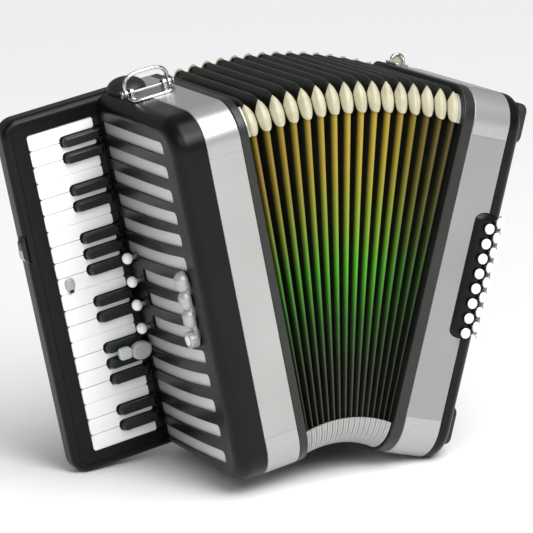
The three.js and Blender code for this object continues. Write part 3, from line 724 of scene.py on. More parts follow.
def addBoxes(plan):
    # a rim on both sides of the bellows, and the box of the keyboard's side
    for side in ("treble", "bass"):
        node = f"{side}_bellows_frame"
        low, high = localBox(node, side)
        rim = boxRing(low[0], high[0], plan["rimWall"], plan["rimSoft"])
        finished(f"{side}_rim", [(rim, 0)], [frameEnamel], side, side, [node])
    low, high = localBox("treble_case", "treble")
    box = boxRing(low[0], high[0], plan["wall"], plan["soft"])
    finished("treble_box", [(box, 0)], [silverCelluloid], "treble", "treble",
             ["treble_case"])
    addCornerSheets("treble")


addBoxes(casePlan)
print("boxes and rims are made")

# the grille cover and its cloth

grillePlan = {
    "wall": 2.5, "round": 16.0, "pitch": 26.5, "top": 366.0, "height": 15.0,
    "rear": 86.0, "rearBesideRegisters": 56.0, "front": -66.0,
    "rises": [1.5, 2, 3, 6, 9, 10, 10.5, 12, 13, 14, 14, 12, 10, 7],
    "rearCorner": 3.0, "frontCorner": 5.0, "registerTop": 233.0, "registerReach": 96.0,
    "clothFront": 20.0, "clothRear": 3.0, "clothLow": 13.5, "clothTop": 20.0, "clothGap": 0.5,
    "runOn": 40.0, "edge": 0.7,
}


def slotCutter(middle, rear, rise, face, plan):
    # A rounded rectangle whose height rises with the square of the way from its rear to its front end.
    corners = rectangle(plan["front"], rear, middle - plan["height"] / 2, middle + plan["height"] / 2)
    radii = [plan["frontCorner"], plan["rearCorner"], plan["rearCorner"], plan["frontCorner"]]
    path = refined(roundedPath(corners, radii, 5)[0], 6.0)
    way = (rear - path[:, 0]) / (rear - plan["front"])
    path[:, 1] += rise * way**2
    rows = np.stack([onAxis(*path.T, x, "x") for x in (face - 4, face + 8)])
    return lofted(rows)


def addGrille(plan):
    # the cover, with a curved slot cut at each even pitch, and the cloth behind it
    low, high = localBox("treble_grille_cover", "treble")
    face, inner = low[0], high[0]
    shell = boxShell(inner, face, plan["wall"], plan["round"], runOn=plan["runOn"])
    cover = finished("grille_cover", [(shell, 0)], [blackCelluloid], "treble", "treble",
                     ["treble_grille_cover"])
    cutters = []
    for i, rise in enumerate(plan["rises"]):
        middle = plan["top"] - i * plan["pitch"]
        beside = plan["registerTop"] - plan["registerReach"] < middle < plan["registerTop"]
        rear = plan["rearBesideRegisters" if beside else "rear"]
        cutters.append(slotCutter(middle, rear, rise, face, plan))
    behind = rectangle(face - 5, inner + 5, high[1], boxBack + 50)
    cutters.append(slab(behind, 0.5, "z", -5, boxTop + 5))
    cutOut(cover, cutters, "treble", plan["edge"])
    # The cloth is stretched flat just inside the cover.
    y = np.linspace(boxFront + plan["clothFront"], high[1] - plan["clothRear"], 24)
    z = np.linspace(plan["clothLow"], boxTop - plan["clothTop"], 60)
    rows = onAxis(y[None, :], z[:, None], face + plan["wall"] + plan["clothGap"], "x")
    cloth = finished(
        "grille_cloth", [(lofted(rows, around=False, ends=False), 0)], [grilleWeave], None, "treble",
        weighted=False,
    )
    points = rows.reshape(-1, 3)
    # the share towards the front, from which the cloth's material paints its light and shade
    setValue(cloth, "litFrontShare", (y[-1] - points[:, 1]) / (y[-1] - y[0]))
    flat = cloth.data.uv_layers.new(name="cloth")
    loops = np.empty(len(cloth.data.loops), np.int32)
    cloth.data.loops.foreach_get("vertex_index", loops)
    flat.data.foreach_set("uv", points[loops][:, 1:].astype(np.float32).ravel())
    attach(cloth, "treble")


addGrille(grillePlan)
print("grille is made")

# the keyboard

keyboardPlan = {
    "outerCorner": 20.0, "innerCorner": 3.0, "frontSoft": 7.0, "backSoft": 5.0,
    "groove": 9.0, "grooveWidth": 0.9, "grooveDepth": 0.6,
    "border": 20.5, "belowKeys": 5.0, "recessCorner": 3.0, "lip": 0.8,
    "feltInner": -104.0, "feltThick": 0.7, "feltGap": 0.05,
}
keyUnder = localBox("white_key_01", "treble")[1][1]


def addKeyboard(plan):
    # the keyboard's body with a groove round a recess, and the felt that the keys rest on
    low, high = localBox("keyboard_bed", "treble")
    keysOut = localBox("white_key_01", "treble")[0][0] - 0.8
    recess = roundedPath(
        rectangle(keysOut, high[0] - 3, plan["border"], boxTop - plan["border"]), plan["recessCorner"], 8,
    )[0]
    radii = np.array([plan["outerCorner"], plan["innerCorner"], plan["innerCorner"], plan["outerCorner"]])
    front, back = low[1], high[1]

    def outline(inset):
        # the body's outline, each corner's radius less by the inset
        corners = rectangle(low[0] + inset, high[0] - inset, inset, boxTop - inset)
        return roundedPath(corners, np.maximum(radii - inset, 1.0), 8)[0]

    turn = np.linspace(0, np.pi / 2, 7)
    backInset = plan["backSoft"] * (1 - np.sin(turn))
    backLevel = back - plan["backSoft"] * (1 - np.cos(turn))
    frontInset = plan["frontSoft"] * (1 - np.cos(turn))
    frontLevel = front + plan["frontSoft"] * (1 - np.sin(turn))
    g, w, d = plan["groove"], plan["grooveWidth"], plan["grooveDepth"]
    inset = np.r_[backInset, frontInset, g, g + 0.25 * w, g + 0.75 * w, g + w]
    level = np.r_[backLevel, frontLevel, front, front + d, front + d, front]
    rows = [onAxis(*outline(i).T, y, "y") for i, y in zip(inset, level)]
    lip = plan["lip"]
    floor = keyUnder + plan["belowKeys"]
    for grow, y in ((lip, front), (0.3 * lip, front + 0.25 * lip), (0.0, front + lip), (0.0, floor)):
        middle = (recess.max(0) + recess.min(0)) / 2
        size = (recess.max(0) - recess.min(0)) / 2
        rows.append(onAxis(*(middle + (recess - middle) * (1 + grow / size)).T, y, "y"))
    finished("keyboard_body", [(lofted(np.stack(rows)), 0)], [blackCelluloid], "treble", "treble",
             ["keyboard_bed"])
    edge = plan["border"] + 1
    felt = slab(rectangle(keysOut + 1, plan["feltInner"], edge, boxTop - edge), 2,
                "y", floor - plan["feltThick"], floor - plan["feltGap"], 0.2)
    finished("key_felt", [(felt, 0)], [blackFelt], "treble", "treble")


addKeyboard(keyboardPlan)

keyPlan = {
    "spread": 0.18, "frontRound": 3.2, "tailRound": 2.6, "shoulderRound": 1.0, "notchRound": 4.6, "edge": 0.9,
    "top": keyUnder - 11.1, "skirt": keyUnder - 2, "capEnd": 6.5, "notch": 1.5, "clearance": 0.75,
    "core": keyUnder - 8, "under": keyUnder, "hubFront": keyUnder - 10, "hubBack": keyUnder - 1,
    "bend": keyUnder - 19, "blackHalf": 5.3,
    "blackTop": keyUnder - 19.2, "blackEdge": 2.6, "blackEnd": 5.1, "blackInner": 3.0,
    "whitePallet": 40.0, "blackPallet": 0.0, "palletWidth": 12.0, "palletLength": 24.0, "leverWidth": 2.4,
}
coverFace = localBox("treble_grille_cover", "treble")[0][0]
boardFace = localBox("treble_case", "treble")[0][0] - 0.1
axleX = localBox("key_axle", "treble")[0][0] + 1.5
whiteNames = sorted(name for name in frame["nodes"] if name.startswith("white_key"))
blackNames = sorted(name for name in frame["nodes"] if name.startswith("black_key"))


def keyAction(z, palletY, plan):
    # The lever bends off the hub and lies along the soundboard; a felted pallet at its end shuts the hole.
    end = palletY - plan["palletLength"] / 2 + 2
    near = boardFace - 2.9
    far = near - 3.5
    arm = [
        (axleX - 3, plan["hubFront"] + 3), (far, plan["bend"] - 2), (far, end), (near, end),
        (near, plan["bend"]), (axleX + 4, plan["hubFront"] + 3),
    ]
    half = plan["leverWidth"] / 2
    lever = slab(arm, 0.4, "z", z - half, z + half, 0.2, 2, 1)
    wide, long = plan["palletWidth"] / 2, plan["palletLength"] / 2
    pad = rectangle(palletY - long, palletY + long, z - wide, z + wide)
    block = slab(pad, 0.8, "x", boardFace - 3.4, boardFace - 1.2, 0.2, 2, 1)
    felt = slab(pad, 0.8, "x", boardFace - 1.2, boardFace - 0.3, 0.1, 2, 1)
    return lever, block, felt


def finishKey(name, cap, profile, bottom, top, palletY, material):
    # the cap, the wooden core from bottom to top, and the action at the middle of the core
    core = slab(profile[::-1], 0.4, "z", bottom, top, 0.2, 2, 1)
    lever, block, felt = keyAction((bottom + top) / 2, palletY, keyPlan)
    surfaces = [(cap, 0), (core, 1), (lever, 2), (block, 1), (felt, 3)]
    finished(name + "_made", surfaces, [material, stainedWood, drawnSteel, blackFelt], name, "treble",
             [name])


def addWhiteKey(name, blackMiddles, blackTip, plan):
    # a cap as wide as its pitch at the front, and cut back beside each black key by the gap
    low, high = localBox(name, "treble")
    bottom, top = low[2] - plan["spread"], high[2] + plan["spread"]
    reach = plan["blackHalf"] + plan["clearance"]
    above = [z for z in blackMiddles if abs(z - top) < 3]
    below = [z for z in blackMiddles if abs(z - bottom) < 3]
    tailTop = above[0] - reach if above else top
    tailBottom = below[0] + reach if below else bottom
    outer, inner = low[0], coverFace - plan["capEnd"]
    shoulder = blackTip - plan["notch"]
    corners = [(outer, bottom)]
    radii = [plan["frontRound"]]
    if below:
        corners += [(shoulder, bottom), (shoulder, tailBottom)]
        radii += [plan["shoulderRound"], plan["notchRound"]]
    corners += [(inner, tailBottom), (inner, tailTop)]
    radii += [plan["tailRound"], plan["tailRound"]]
    if above:
        corners += [(shoulder, tailTop), (shoulder, top)]
        radii += [plan["notchRound"], plan["shoulderRound"]]
    corners.append((outer, top))
    radii.append(plan["frontRound"])
    cap = slab(corners, radii, "y", plan["top"], plan["skirt"], (plan["edge"], 0.2), 6, 4)
    profile = [
        (outer + 1.2, plan["skirt"] + 0.1), (inner + 0.3, plan["skirt"] + 0.1), (inner + 0.3, plan["core"]),
        (axleX - 3, plan["core"]), (axleX - 2, plan["hubFront"]), (axleX + 4, plan["hubFront"]),
        (axleX + 4, plan["hubBack"]), (axleX - 3, plan["under"]), (outer + 1.2, plan["under"]),
    ]
    finishKey(name, cap, profile, tailBottom + 0.2, tailTop - 0.2, plan["whitePallet"], whiteKeyPlastic)


def addBlackKey(name, plan):
    # a rounded bar about the black key's own middle
    low, high = localBox(name, "treble")
    middle = (low[2] + high[2]) / 2
    half = plan["blackHalf"]
    tip, inner = low[0], coverFace - plan["blackInner"]
    corners = [(tip, middle - half), (inner, middle - half), (inner, middle + half), (tip, middle + half)]
    radii = [plan["blackEnd"], 1.0, 1.0, plan["blackEnd"]]
    cap = slab(corners, radii, "y", plan["blackTop"], plan["under"], (plan["blackEdge"], 0.2), 10, 6)
    profile = [
        (inner - 1, plan["top"]), (axleX - 2, plan["hubFront"]), (axleX + 4, plan["hubFront"]),
        (axleX + 4, plan["hubBack"]), (axleX - 3, plan["under"]), (inner - 1, plan["under"]),
    ]
    finishKey(name, cap, profile, middle - half + 0.3, middle + half - 0.3, plan["blackPallet"],
              blackKeyPlastic)


blackBoxes = [localBox(name, "treble") for name in blackNames]
blackMiddles = [(low[2] + high[2]) / 2 for low, high in blackBoxes]
for name in whiteNames:
    addWhiteKey(name, blackMiddles, blackBoxes[0][0][0], keyPlan)
for name in blackNames:
    addBlackKey(name, keyPlan)
print("keys are made")

# registers

registerPlan = {"radius": 6.2, "gapToCover": 3.3, "stem": 3.1, "count": 4}


def ballProfile(radius, low, high, steps=14):
    # half a circle, stretched along the axis to run from low to high
    turn = np.linspace(-np.pi / 2 + 0.06, np.pi / 2 - 0.06, steps)
    return np.stack([radius * np.cos(turn), (low + high) / 2 + (high - low) / 2 * np.sin(turn)], 1)


def addRegisters(plan):
    # a stretched ball on a stem for each register button
    for i in range(1, plan["count"] + 1):
        node = f"register_button_{i}"
        low, high = localBox(node, "treble")
        centre = ((low[1] + high[1]) / 2, (low[2] + high[2]) / 2)
        neck = coverFace - plan["gapToCover"]
        ball = revolved(ballProfile(plan["radius"], low[0], neck), "x", centre)
        stem = revolved(discProfile(plan["stem"], neck - 1, high[0], 0.3), "x", centre, 20)
        finished(node + "_made", [(ball, 0), (stem, 1)], [buttonPlastic, drawnSteel], node, "treble",
                 [node], weighted=False)


slidePlan = {
    "width": 6.0, "topKnob": 10.4, "knobs": [9.6, 8.8, 8.4], "knobPitch": 20.0, "disc": 9.0, "button": 5.2,
}


def addSlide(plan):
    # a bar with three waisted knobs above a disc and its button
    low, high = localBox("register_slide", "treble")
    y = (low[1] + high[1]) / 2
    face = high[0]
    barTop = high[2] - plan["topKnob"] + 8
    bar = slab(rectangle(y - plan["width"], y + plan["width"], low[2], barTop), plan["width"] - 0.2, "x",
               face - 4, face, 1.2, 10)
    surfaces = [(bar, 0)]
    for i, radius in enumerate(plan["knobs"]):
        z = barTop - 8 - i * plan["knobPitch"]
        knob = revolved(ballProfile(radius, z - 11.4, z + 11.4, 24), "z", (face - 4, y), 40)
        # the knob's waist: it is drawn in where a bright band goes round it
        points, faces = knob
        band = np.exp(-(((points[:, 2] - z) / 2.2) ** 2))
        middle = np.array([face - 4, y, 0])
        spread = points - middle
        spread[:, :2] *= (1 - 0.1 * band)[:, None]
        points = spread + middle
        points[:, 0] = np.minimum(points[:, 0], face - 1)
        surfaces.append(((points, faces), 0))
    z = low[2] + plan["disc"]
    disc = revolved(discProfile(plan["disc"], 1 - face, 11.2 - face, 1.2), "x", (y, z), 48)
    button = revolved(discProfile(plan["button"], 10 - face, 12.2 - face, 0.8, 0.4), "x", (y, z), 40)
    surfaces += [(mirrored(disc, (-1, 1, 1)), 0), (mirrored(button, (-1, 1, 1)), 1)]
    finished("register_slide_made", surfaces, [satinNickel, buttonPlastic], "register_slide", "treble",
             ["register_slide"])


addRegisters(registerPlan)
addSlide(slidePlan)
print("registers are made")

# the shoulder strap fitting

fittingPlan = {"wire": 2.0}


def addFitting(plan):
    # a plate with two ears and their screw, and the bail that turns about it
    low, high = localBox("strap_bracket", "treble")
    y = (low[1] + high[1]) / 2
    base = boxTop + 0.5
    inset, level = softProfile(base, base + 3.2, 0.3, 2.2, 6)
    path, normals = roundedPath(rectangle(low[0] + 3, high[0] - 2, low[1], high[1]), 11, 10)
    rows = path[None] - inset[:, None, None] * normals[None]
    plate = lofted(onAxis(rows[..., 0], rows[..., 1], level[:, None], "z"))
    pivotZ = boxTop + 9
    surfaces = [(plate, 0)]
    bailLow, bailHigh = localBox("strap_bail", "treble")
    for x in (bailLow[0] + 8, bailHigh[0] - 8):
        ear = slab([(y - 5, base + 2), (y + 5, base + 2), (y + 5, pivotZ + 5), (y - 5, pivotZ + 5)],
                   [0.5, 0.5, 4.8, 4.8], "x", x - 2, x + 2, 0.5, 8)
        surfaces.append((ear, 0))
    screw = discProfile(1.5, bailLow[0] - 1.5, bailHigh[0] + 1.5, 0.3)
    surfaces.append((revolved(screw, "x", (y, pivotZ), 20), 1))
    for x, way in ((bailLow[0] - 1.2, -1), (bailHigh[0] + 1.2, 1)):
        head = revolved(discProfile(4.0, 0, 2.2, 0.8, 0.3), "x", (y, pivotZ), 28)
        head = head if way > 0 else mirrored(head, (-1, 1, 1))
        surfaces.append((moved(head, lambda points, x=x: points + [x, 0, 0]), 1))
    finished("strap_fitting", surfaces, [chrome, drawnSteel], "treble", "treble",
             ["strap_bracket"])
    # The bail: a flattened half hoop, its height the sine of the turn to a power below one.
    turn = np.linspace(0, np.pi, 49)
    middle = (bailLow[0] + bailHigh[0]) / 2
    half = (bailHigh[0] - bailLow[0]) / 2 - 2.2
    x = middle - half * np.sign(np.cos(turn)) * np.abs(np.cos(turn)) ** 0.6
    z = pivotZ + 1 + (bailHigh[2] - pivotZ - plan["wire"] - 1) * np.sin(turn) ** 0.6
    hoop = tube(np.stack([x, np.full_like(x, y), z], 1), plan["wire"], 18)
    eyes = []
    for side in (bailLow[0] + 2, bailHigh[0] - 2):
        eye = revolved(discProfile(4.1, side - 1.8, side + 1.8, 0.5), "x", (y, pivotZ), 28)
        eyes.append((eye, 0))
    finished("strap_bail_made", [(hoop, 0), *eyes], [chrome], "strap_bail", "treble",
             ["strap_bail"], weighted=False)


addFitting(fittingPlan)
print("strap fitting is made")

# the bellows

bellowsPlan = {
    "folds": 16, "half": 44.0, "ridge": 5.0, "depth": 16.0, "flat": 0.16, "sharpness": 1.25, "sheet": 1.4,
    "stepsPerFold": 14, "seat": 0.35,
}
turns = {side: -math.atan2(x[2], x[0]) for side, x in across.items()}


def fanned(points, share):
    # A point of the closed stack is turned about the fan line by its share of the whole fan.
    turn = turns["treble"] + share * (turns["bass"] - turns["treble"])
    x = points[..., 0] * np.cos(turn) + points[..., 2] * np.sin(turn)
    z = points[..., 2] * np.cos(turn) - points[..., 0] * np.sin(turn)
    return fanLine * 1000 + np.stack([x, points[..., 1], z], -1)


def foldInset(phase, plan):
    # phase is 0 on a fold's edge and 1 in the valley; past the flat of the edge a power over 1 rounds it off
    beyond = np.clip((np.abs(phase) - plan["flat"]) / (1 - plan["flat"]), 0, 1)
    return plan["ridge"] + plan["depth"] * beyond ** plan["sharpness"]


def setBlend(piece):
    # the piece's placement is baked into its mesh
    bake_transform(piece)


def addBellows(plan):
    # The wall zigzags through all folds: its inset comes from the way to the nearest edge.
    steps = plan["folds"] * plan["stepsPerFold"]
    share = np.linspace(0, 1, steps + 1)
    fold = share * plan["folds"]
    phase = 2 * np.abs(fold - np.floor(fold) - 0.5)
    insets = foldInset(phase, plan)
    x = (share - 0.5) * 2 * plan["half"]
    x[0] += plan["seat"]
    x[-1] -= plan["seat"]
    flat = np.concatenate([boxRows(insets, x), boxRows(insets + plan["sheet"], x)[::-1]])
    shares = np.repeat(np.r_[share, share[::-1]][:, None], flat.shape[1], 1)
    piece = finished(
        "bellows_folds", [(lofted(fanned(flat, shares), loop=True), 0)], [bellowsCloth], None, None,
        sharp=75, weighted=False,
    )
    setValue(piece, "foldEdge", np.repeat(np.r_[phase, np.ones(len(phase))][:, None], flat.shape[1], 1).ravel())
    setValue(piece, "foldHeight", (flat[..., 2] / boxTop).ravel())
    setValue(piece, "fanShare", shares.ravel())
    forward = -np.concatenate([boxNormals(i)[:, 0][None] for i in np.r_[insets, insets[::-1]]])
    setValue(piece, "frontFace", np.clip((forward - 0.8) / 0.1, 0, 1).ravel())
    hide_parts("bellows")
    setBlend(piece)


addBellows(bellowsPlan)

cornerPlans = {
    "top_front": {"radius": 36.0, "front": True, "top": True, "width": 0.92, "from": -3.0, "to": 31.0,
                  "neck": 0.4, "peak": 0.12, "bend": 0.5, "crown": 1.7, "ribs": 1, "material": creamCelluloid},
    "bottom_front": {"radius": 36.0, "front": True, "top": False, "width": 1.0, "from": -1.0, "to": 62.0,
                     "neck": 1.0, "peak": 1.0, "bend": 0.24, "crown": 1.5, "ribs": 2, "material": satinNickel},
    "top_back": {"radius": 14.0, "front": False, "top": True, "width": 0.92, "from": -12.0, "to": 14.0,
                 "neck": 0.4, "peak": 0.12, "bend": 0.5, "crown": 1.7, "ribs": 1, "material": creamCelluloid},
    "bottom_back": {"radius": 14.0, "front": False, "top": False, "width": 1.0, "from": -8.0, "to": 24.0,
                    "neck": 1.0, "peak": 1.0, "bend": 0.24, "crown": 1.5, "ribs": 2, "material": satinNickel},
}
endCap = {"middle": 0.15, "reach": 0.13, "inset": 6.6, "crown": 0.8}


def cornerCurve(inset, distance, plan):
    # The outline near one corner by the distance along it: straight up the side, a quarter circle, then
    # straight along the top. Returns y, z and the outward direction.
    radius = np.maximum(plan["radius"] - inset, boxPlan["least"])
    turn = np.clip(distance / radius, 0, np.pi / 2)
    below = np.minimum(distance, 0)
    beyond = np.maximum(distance - radius * np.pi / 2, 0)
    outY, outZ = np.cos(turn), np.sin(turn)
    reach = (-boxFront if plan["front"] else boxBack) - inset - radius
    rise = boxTop / 2 - inset - radius
    y = reach + radius * outY - beyond
    z = rise + radius * outZ + below
    wayY = -1 if plan["front"] else 1
    wayZ = 1 if plan["top"] else -1
    return wayY * y, boxTop / 2 + wayZ * z, wayY * outY, wayZ * outZ


def cornerShell(distance, share, inset, crown, plan):
    # A thin shell over the folds: its outside is lifted off the cloth by the crown, its inside sunk in it.
    y, z, outY, outZ = cornerCurve(inset, distance[:, None], plan)
    x = (share - 0.5) * 2 * bellowsPlan["half"]
    outer = np.stack([x, y + crown * outY, z + crown * outZ], -1)
    inner = np.stack([x, y - 0.4 * outY, z - 0.4 * outZ], -1)[:, ::-1]
    ringShare = np.concatenate([share, share[:, ::-1]], 1)
    return lofted(fanned(np.concatenate([outer, inner], 1), ringShare)), ringShare.ravel()


def addCorners(name, plan):
    # Each fold's corner narrows downwards to the tape and rises to a gable; the crown is the sine of the
    # way across it, once for each rib.
    folds = bellowsPlan["folds"]
    lengths = np.linspace(0, 1, 21)
    across01 = np.linspace(-1, 1, 17)
    distance = plan["from"] + lengths * (plan["to"] - plan["from"])
    lower = np.sqrt(1 - (1 - np.clip(lengths / 0.4, 0, 1)) ** 2)
    upper = np.clip((1 - lengths) / 0.42, 0, 1) ** 0.75
    neck = plan["neck"] + (1 - plan["neck"]) * lower
    width = plan["width"] * neck * (plan["peak"] + (1 - plan["peak"]) * upper)
    phase = across01[None, :] * width[:, None]
    inset = foldInset(phase * plan["bend"], bellowsPlan)
    wave = np.abs(np.sin(np.pi * plan["ribs"] * (across01 + 1) / 2))
    crown = (0.3 + plan["crown"] * wave)[None, :] * np.ones_like(phase)
    made = [
        cornerShell(distance, (fold + 0.5 + 0.5 * phase) / folds, inset, crown, plan) for fold in range(folds)
    ]
    piece = finished("bellows_corners_" + name, [(surface, 0) for surface, _ in made], [plan["material"]], None,
                     None, weighted=False)
    setBlend(piece)
    if plan["ribs"] > 1:
        return
    # A bright plate closes the half fold beside each rim.
    reach = endCap["middle"] + endCap["reach"] * across01[None, :] * np.ones((len(distance), 1))
    level = np.full_like(reach, endCap["inset"])
    raised = np.full_like(reach, endCap["crown"])
    plates = [cornerShell(distance, way, level, raised, plan) for way in (reach / folds, 1 - reach / folds)]
    piece = finished("bellows_end_plates_" + name, [(surface, 0) for surface, _ in plates], [satinNickel], None,
                     None, weighted=False)
    setBlend(piece)


for name, plan in cornerPlans.items():
    addCorners(name, plan)
print("bellows are made")

# the bass side

drumPlan = {"soft": 11.0, "clear": 0.5, "hole": 3.0, "airHole": 5.5}
drumLow, drumHigh = localBox("bass_button_board", "bass")
drumRadius = 24.0
drumCentre = ((drumLow[0] + drumHigh[0]) / 2, (drumLow[1] + drumHigh[1]) / 2)
rowJoints = [joints[f"bass_button_row_{i}_press"] for i in range(1, 5)]
rowTurns = [math.atan2(-(np.array(j["axis"]) @ across["bass"]), j["axis"][1]) for j in rowJoints]


def addBassBox():
    # the box and its end cover, both opened for the drum by the drum's radius and a gap
    low, high = localBox("bass_case", "bass")
    clear = drumPlan["clear"]
    inset, level = softProfile(drumLow[2] - clear, drumHigh[2] + clear, drumPlan["soft"], drumPlan["soft"], 8)
    side = np.stack([drumRadius + clear - inset, level], 1)
    drum = revolved(np.vstack([[pinhole, level[0]], side, [pinhole, level[-1]]]), "z", drumCentre, 96)
    shell = boxShell(low[0], high[0], casePlan["wall"], casePlan["soft"], 6)
    # the bass box wears the silver darkened as painted shade
    case = finished("bass_box", [(shell, 0)], [silverWithPaintedShade], "bass", "bass", ["bass_case"])
    cutOut(case, [drum], "bass", 0.4)
    addCornerSheets("bass")
    low, high = localBox("bass_end_cover", "bass")
    airLow, airHigh = localBox("air_button", "bass")
    airMiddle = ((airLow[1] + airHigh[1]) / 2, (airLow[2] + airHigh[2]) / 2)
    hole = cylinder(drumPlan["airHole"], high[0] - 8, high[0] + 4, "x", airMiddle, 40)
    cover = finished("bass_cover", [(boxShell(low[0], high[0], 2.5, 12), 0)], [blackCelluloid], "bass", "bass",
                     ["bass_end_cover"])
    cutOut(cover, [drum, hole], "bass", 0.5)


def aroundDrum(points, turn):
    # from a block drawn at the drum's front, turned about the drum's upright centre line
    x = drumCentre[0] + points[:, 0] * math.cos(turn) - points[:, 1] * math.sin(turn)
    y = drumCentre[1] + points[:, 0] * math.sin(turn) + points[:, 1] * math.cos(turn)
    return np.stack([x, y, points[:, 2]], 1)


buttonPlan = {"radius": 5.6, "rows": 8, "pitch": 16.2, "face": 30.2, "back": 27.4, "stem": 2.2}


def addBassButtons(plan):
    # The drum's shell, and rows of caps at an even pitch, each turned to its row's direction.
    inset, level = softProfile(drumLow[2], drumHigh[2], drumPlan["soft"], drumPlan["soft"], 8)
    outer = np.vstack([[pinhole, drumLow[2]], np.stack([drumRadius - inset, level], 1), [pinhole, drumHigh[2]]])
    inset, level = softProfile(drumLow[2] + 2.5, drumHigh[2] - 2.5, 9, 9, 6)
    inner = np.vstack([[pinhole, drumLow[2] + 2.5], np.stack([drumRadius - 2.5 - inset, level], 1),
                       [pinhole, drumHigh[2] - 2.5]])
    outside = revolved(outer, "z", drumCentre, 96)
    inside = mirrored(revolved(inner, "z", drumCentre, 64), (1, 1, 1))
    board = finished("button_board", [(outside, 0), (inside, 0)], [blackCelluloid], "bass", "bass",
                     ["bass_button_board"])
    holes = []
    for number, turn in enumerate(rowTurns, 1):
        node = f"bass_button_row_{number}"
        low, high = localBox(node, "bass")
        middle = (low[2] + high[2]) / 2
        heights = middle + (np.arange(plan["rows"]) - (plan["rows"] - 1) / 2) * plan["pitch"]
        surfaces = []
        bar = slab(rectangle(-1.3, 1.3, -19, -15.5), 0.3, "z", heights[0] - 3, heights[-1] + 3, 0.3)
        around = partial(aroundDrum, turn=turn)
        surfaces.append((moved(bar, around), 1))
        for z in heights:
            cap = revolved(discProfile(plan["radius"], plan["back"], plan["face"], 1.1, 0.9), "y", (0, z), 36)
            stem = revolved(discProfile(plan["stem"], 17, plan["back"] + 0.5, 0.3), "y", (0, z), 16)
            for surface, material in ((cap, 0), (stem, 1)):
                surfaces.append((moved(mirrored(surface, (1, -1, 1)), around), material))
            hole = cylinder(drumPlan["hole"], 20, 27, "y", (0, z), 20)
            holes.append(moved(mirrored(hole, (1, -1, 1)), around))
        finished(node + "_made", surfaces, [buttonPlastic, drawnSteel], node, "bass", [node],
                 weighted=False)
    cutOut(board, holes, "bass", 0.3)
    low, high = localBox("air_button", "bass")
    centre = ((low[1] + high[1]) / 2, (low[2] + high[2]) / 2)
    cap = revolved(discProfile(8.0, high[0] - 4, high[0], 1.4, -0.6), "x", centre, 48)
    stem = revolved(discProfile(5.0, low[0], high[0] - 3.5, 0.4), "x", centre, 32)
    finished("air_button_made", [(cap, 0), (stem, 1)], [blackKeyPlastic, drawnSteel], "air_button", "bass",
             ["air_button"])


addBassBox()
addBassButtons(buttonPlan)
print("bass side is made")

strapPlan = {"thickness": 3.2, "width": 54.0, "bow": 34.0, "stitch": 3.4, "stitchGap": 1.6, "fromEdge": 4.0}


def strapCentre(share, plan):
    # The strap bows out from the cover: its distance is the sine of the way up it, to a power below one.
    low, high = localBox("bass_hand_strap", "bass")
    x = low[0] + plan["thickness"] / 2 + plan["bow"] * np.sin(np.pi * share) ** 0.8
    z = low[2] + (high[2] - low[2]) * share
    return x, z, (low[1] + high[1]) / 2


def addHandStrap(plan):
    # the section carried along the bow, stitched at an even step along both edges
    share = np.linspace(0.0, 1.0, 81)
    x, z, y = strapCentre(share, plan)
    tangent = np.gradient(np.stack([x, z], 1), axis=0)
    tangent /= np.linalg.norm(tangent, axis=1)[:, None]
    normal = np.stack([tangent[:, 1], -tangent[:, 0]], 1)
    half, thick = plan["width"] / 2, plan["thickness"] / 2
    path, _ = roundedPath(rectangle(-half, half, -thick, thick), 1.4, 5)
    path = refined(path, 3.0)
    swell = 0.5 * np.clip(1 - (path[:, 0] / half) ** 2, 0, 1) * np.sign(path[:, 1])
    offset = path[:, 1] + swell
    rows = np.stack([
        x[:, None] + normal[:, :1] * offset[None],
        np.broadcast_to(y + path[None, :, 0], (len(x), len(path))),
        z[:, None] + normal[:, 1:] * offset[None],
    ], -1)
    stitches = []
    length = np.r_[0, np.cumsum(np.hypot(np.diff(x), np.diff(z)))]
    step = plan["stitch"] + plan["stitchGap"]
    places = np.arange(8, length[-1] - 8, step)
    small = ballProfile(0.55, -plan["stitch"] / 2, plan["stitch"] / 2, 6)
    for edge in (-1, 1):
        for at in places:
            s = np.interp(at, length, share)
            px, pz = np.interp(s, share, x), np.interp(s, share, z)
            tx, tz = np.interp(s, share, tangent[:, 0]), np.interp(s, share, tangent[:, 1])
            points, faces = revolved(small, "z", (0, 0), 6)
            out = thick + 0.12
            rotated = np.stack([
                px + tz * (points[:, 0] + out) + tx * points[:, 2],
                y + edge * (half - plan["fromEdge"]) + points[:, 1],
                pz - tx * (points[:, 0] + out) + tz * points[:, 2],
            ], 1)
            stitches.append(((rotated, faces), 1))
    finished("hand_strap", [(lofted(rows), 0), *stitches], [blackLeather, waxedThread], "bass", "bass",
             ["bass_hand_strap"], weighted=False)
    low, high = localBox("bass_hand_strap", "bass")
    plates = []
    for z in (low[2] + 5, high[2] - 5):
        plate = slab(rectangle(y - 31, y + 31, z - 7, z + 7), 4, "x", low[0] + 2.6, low[0] + 5.2, 0.6, 6)
        plates.append((plate, 0))
        for side in (-23, 23):
            head = revolved(discProfile(3.4, low[0] + 5, low[0] + 6.8, 0.7, 0.4), "x", (y + side, z), 24)
            plates.append((head, 1))
    finished("hand_strap_plates", plates, [chrome, drawnSteel], "bass", "bass")


addHandStrap(strapPlan)

footPlan = {
    "length": 43.0, "width": 28.0, "height": 10.0, "front": -72.0, "back": 98.0, "low": 40.0, "high": 372.0,
}


def addFeet(plan):
    # four rounded blocks on the end cover
    face = localBox("bass_end_cover", "bass")[1][0]
    feet = []
    for y in (plan["front"], plan["back"]):
        for z in (plan["low"], plan["high"]):
            corners = rectangle(y - plan["width"] / 2, y + plan["width"] / 2,
                                z - plan["length"] / 2, z + plan["length"] / 2)
            feet.append((slab(corners, 9, "x", face - 3, face + plan["height"], (0.2, 5.5), 8, 7), 0))
    finished("rubber_feet", feet, [blackRubber], "bass", "bass")


addFeet(footPlan)
print("strap and feet are made")

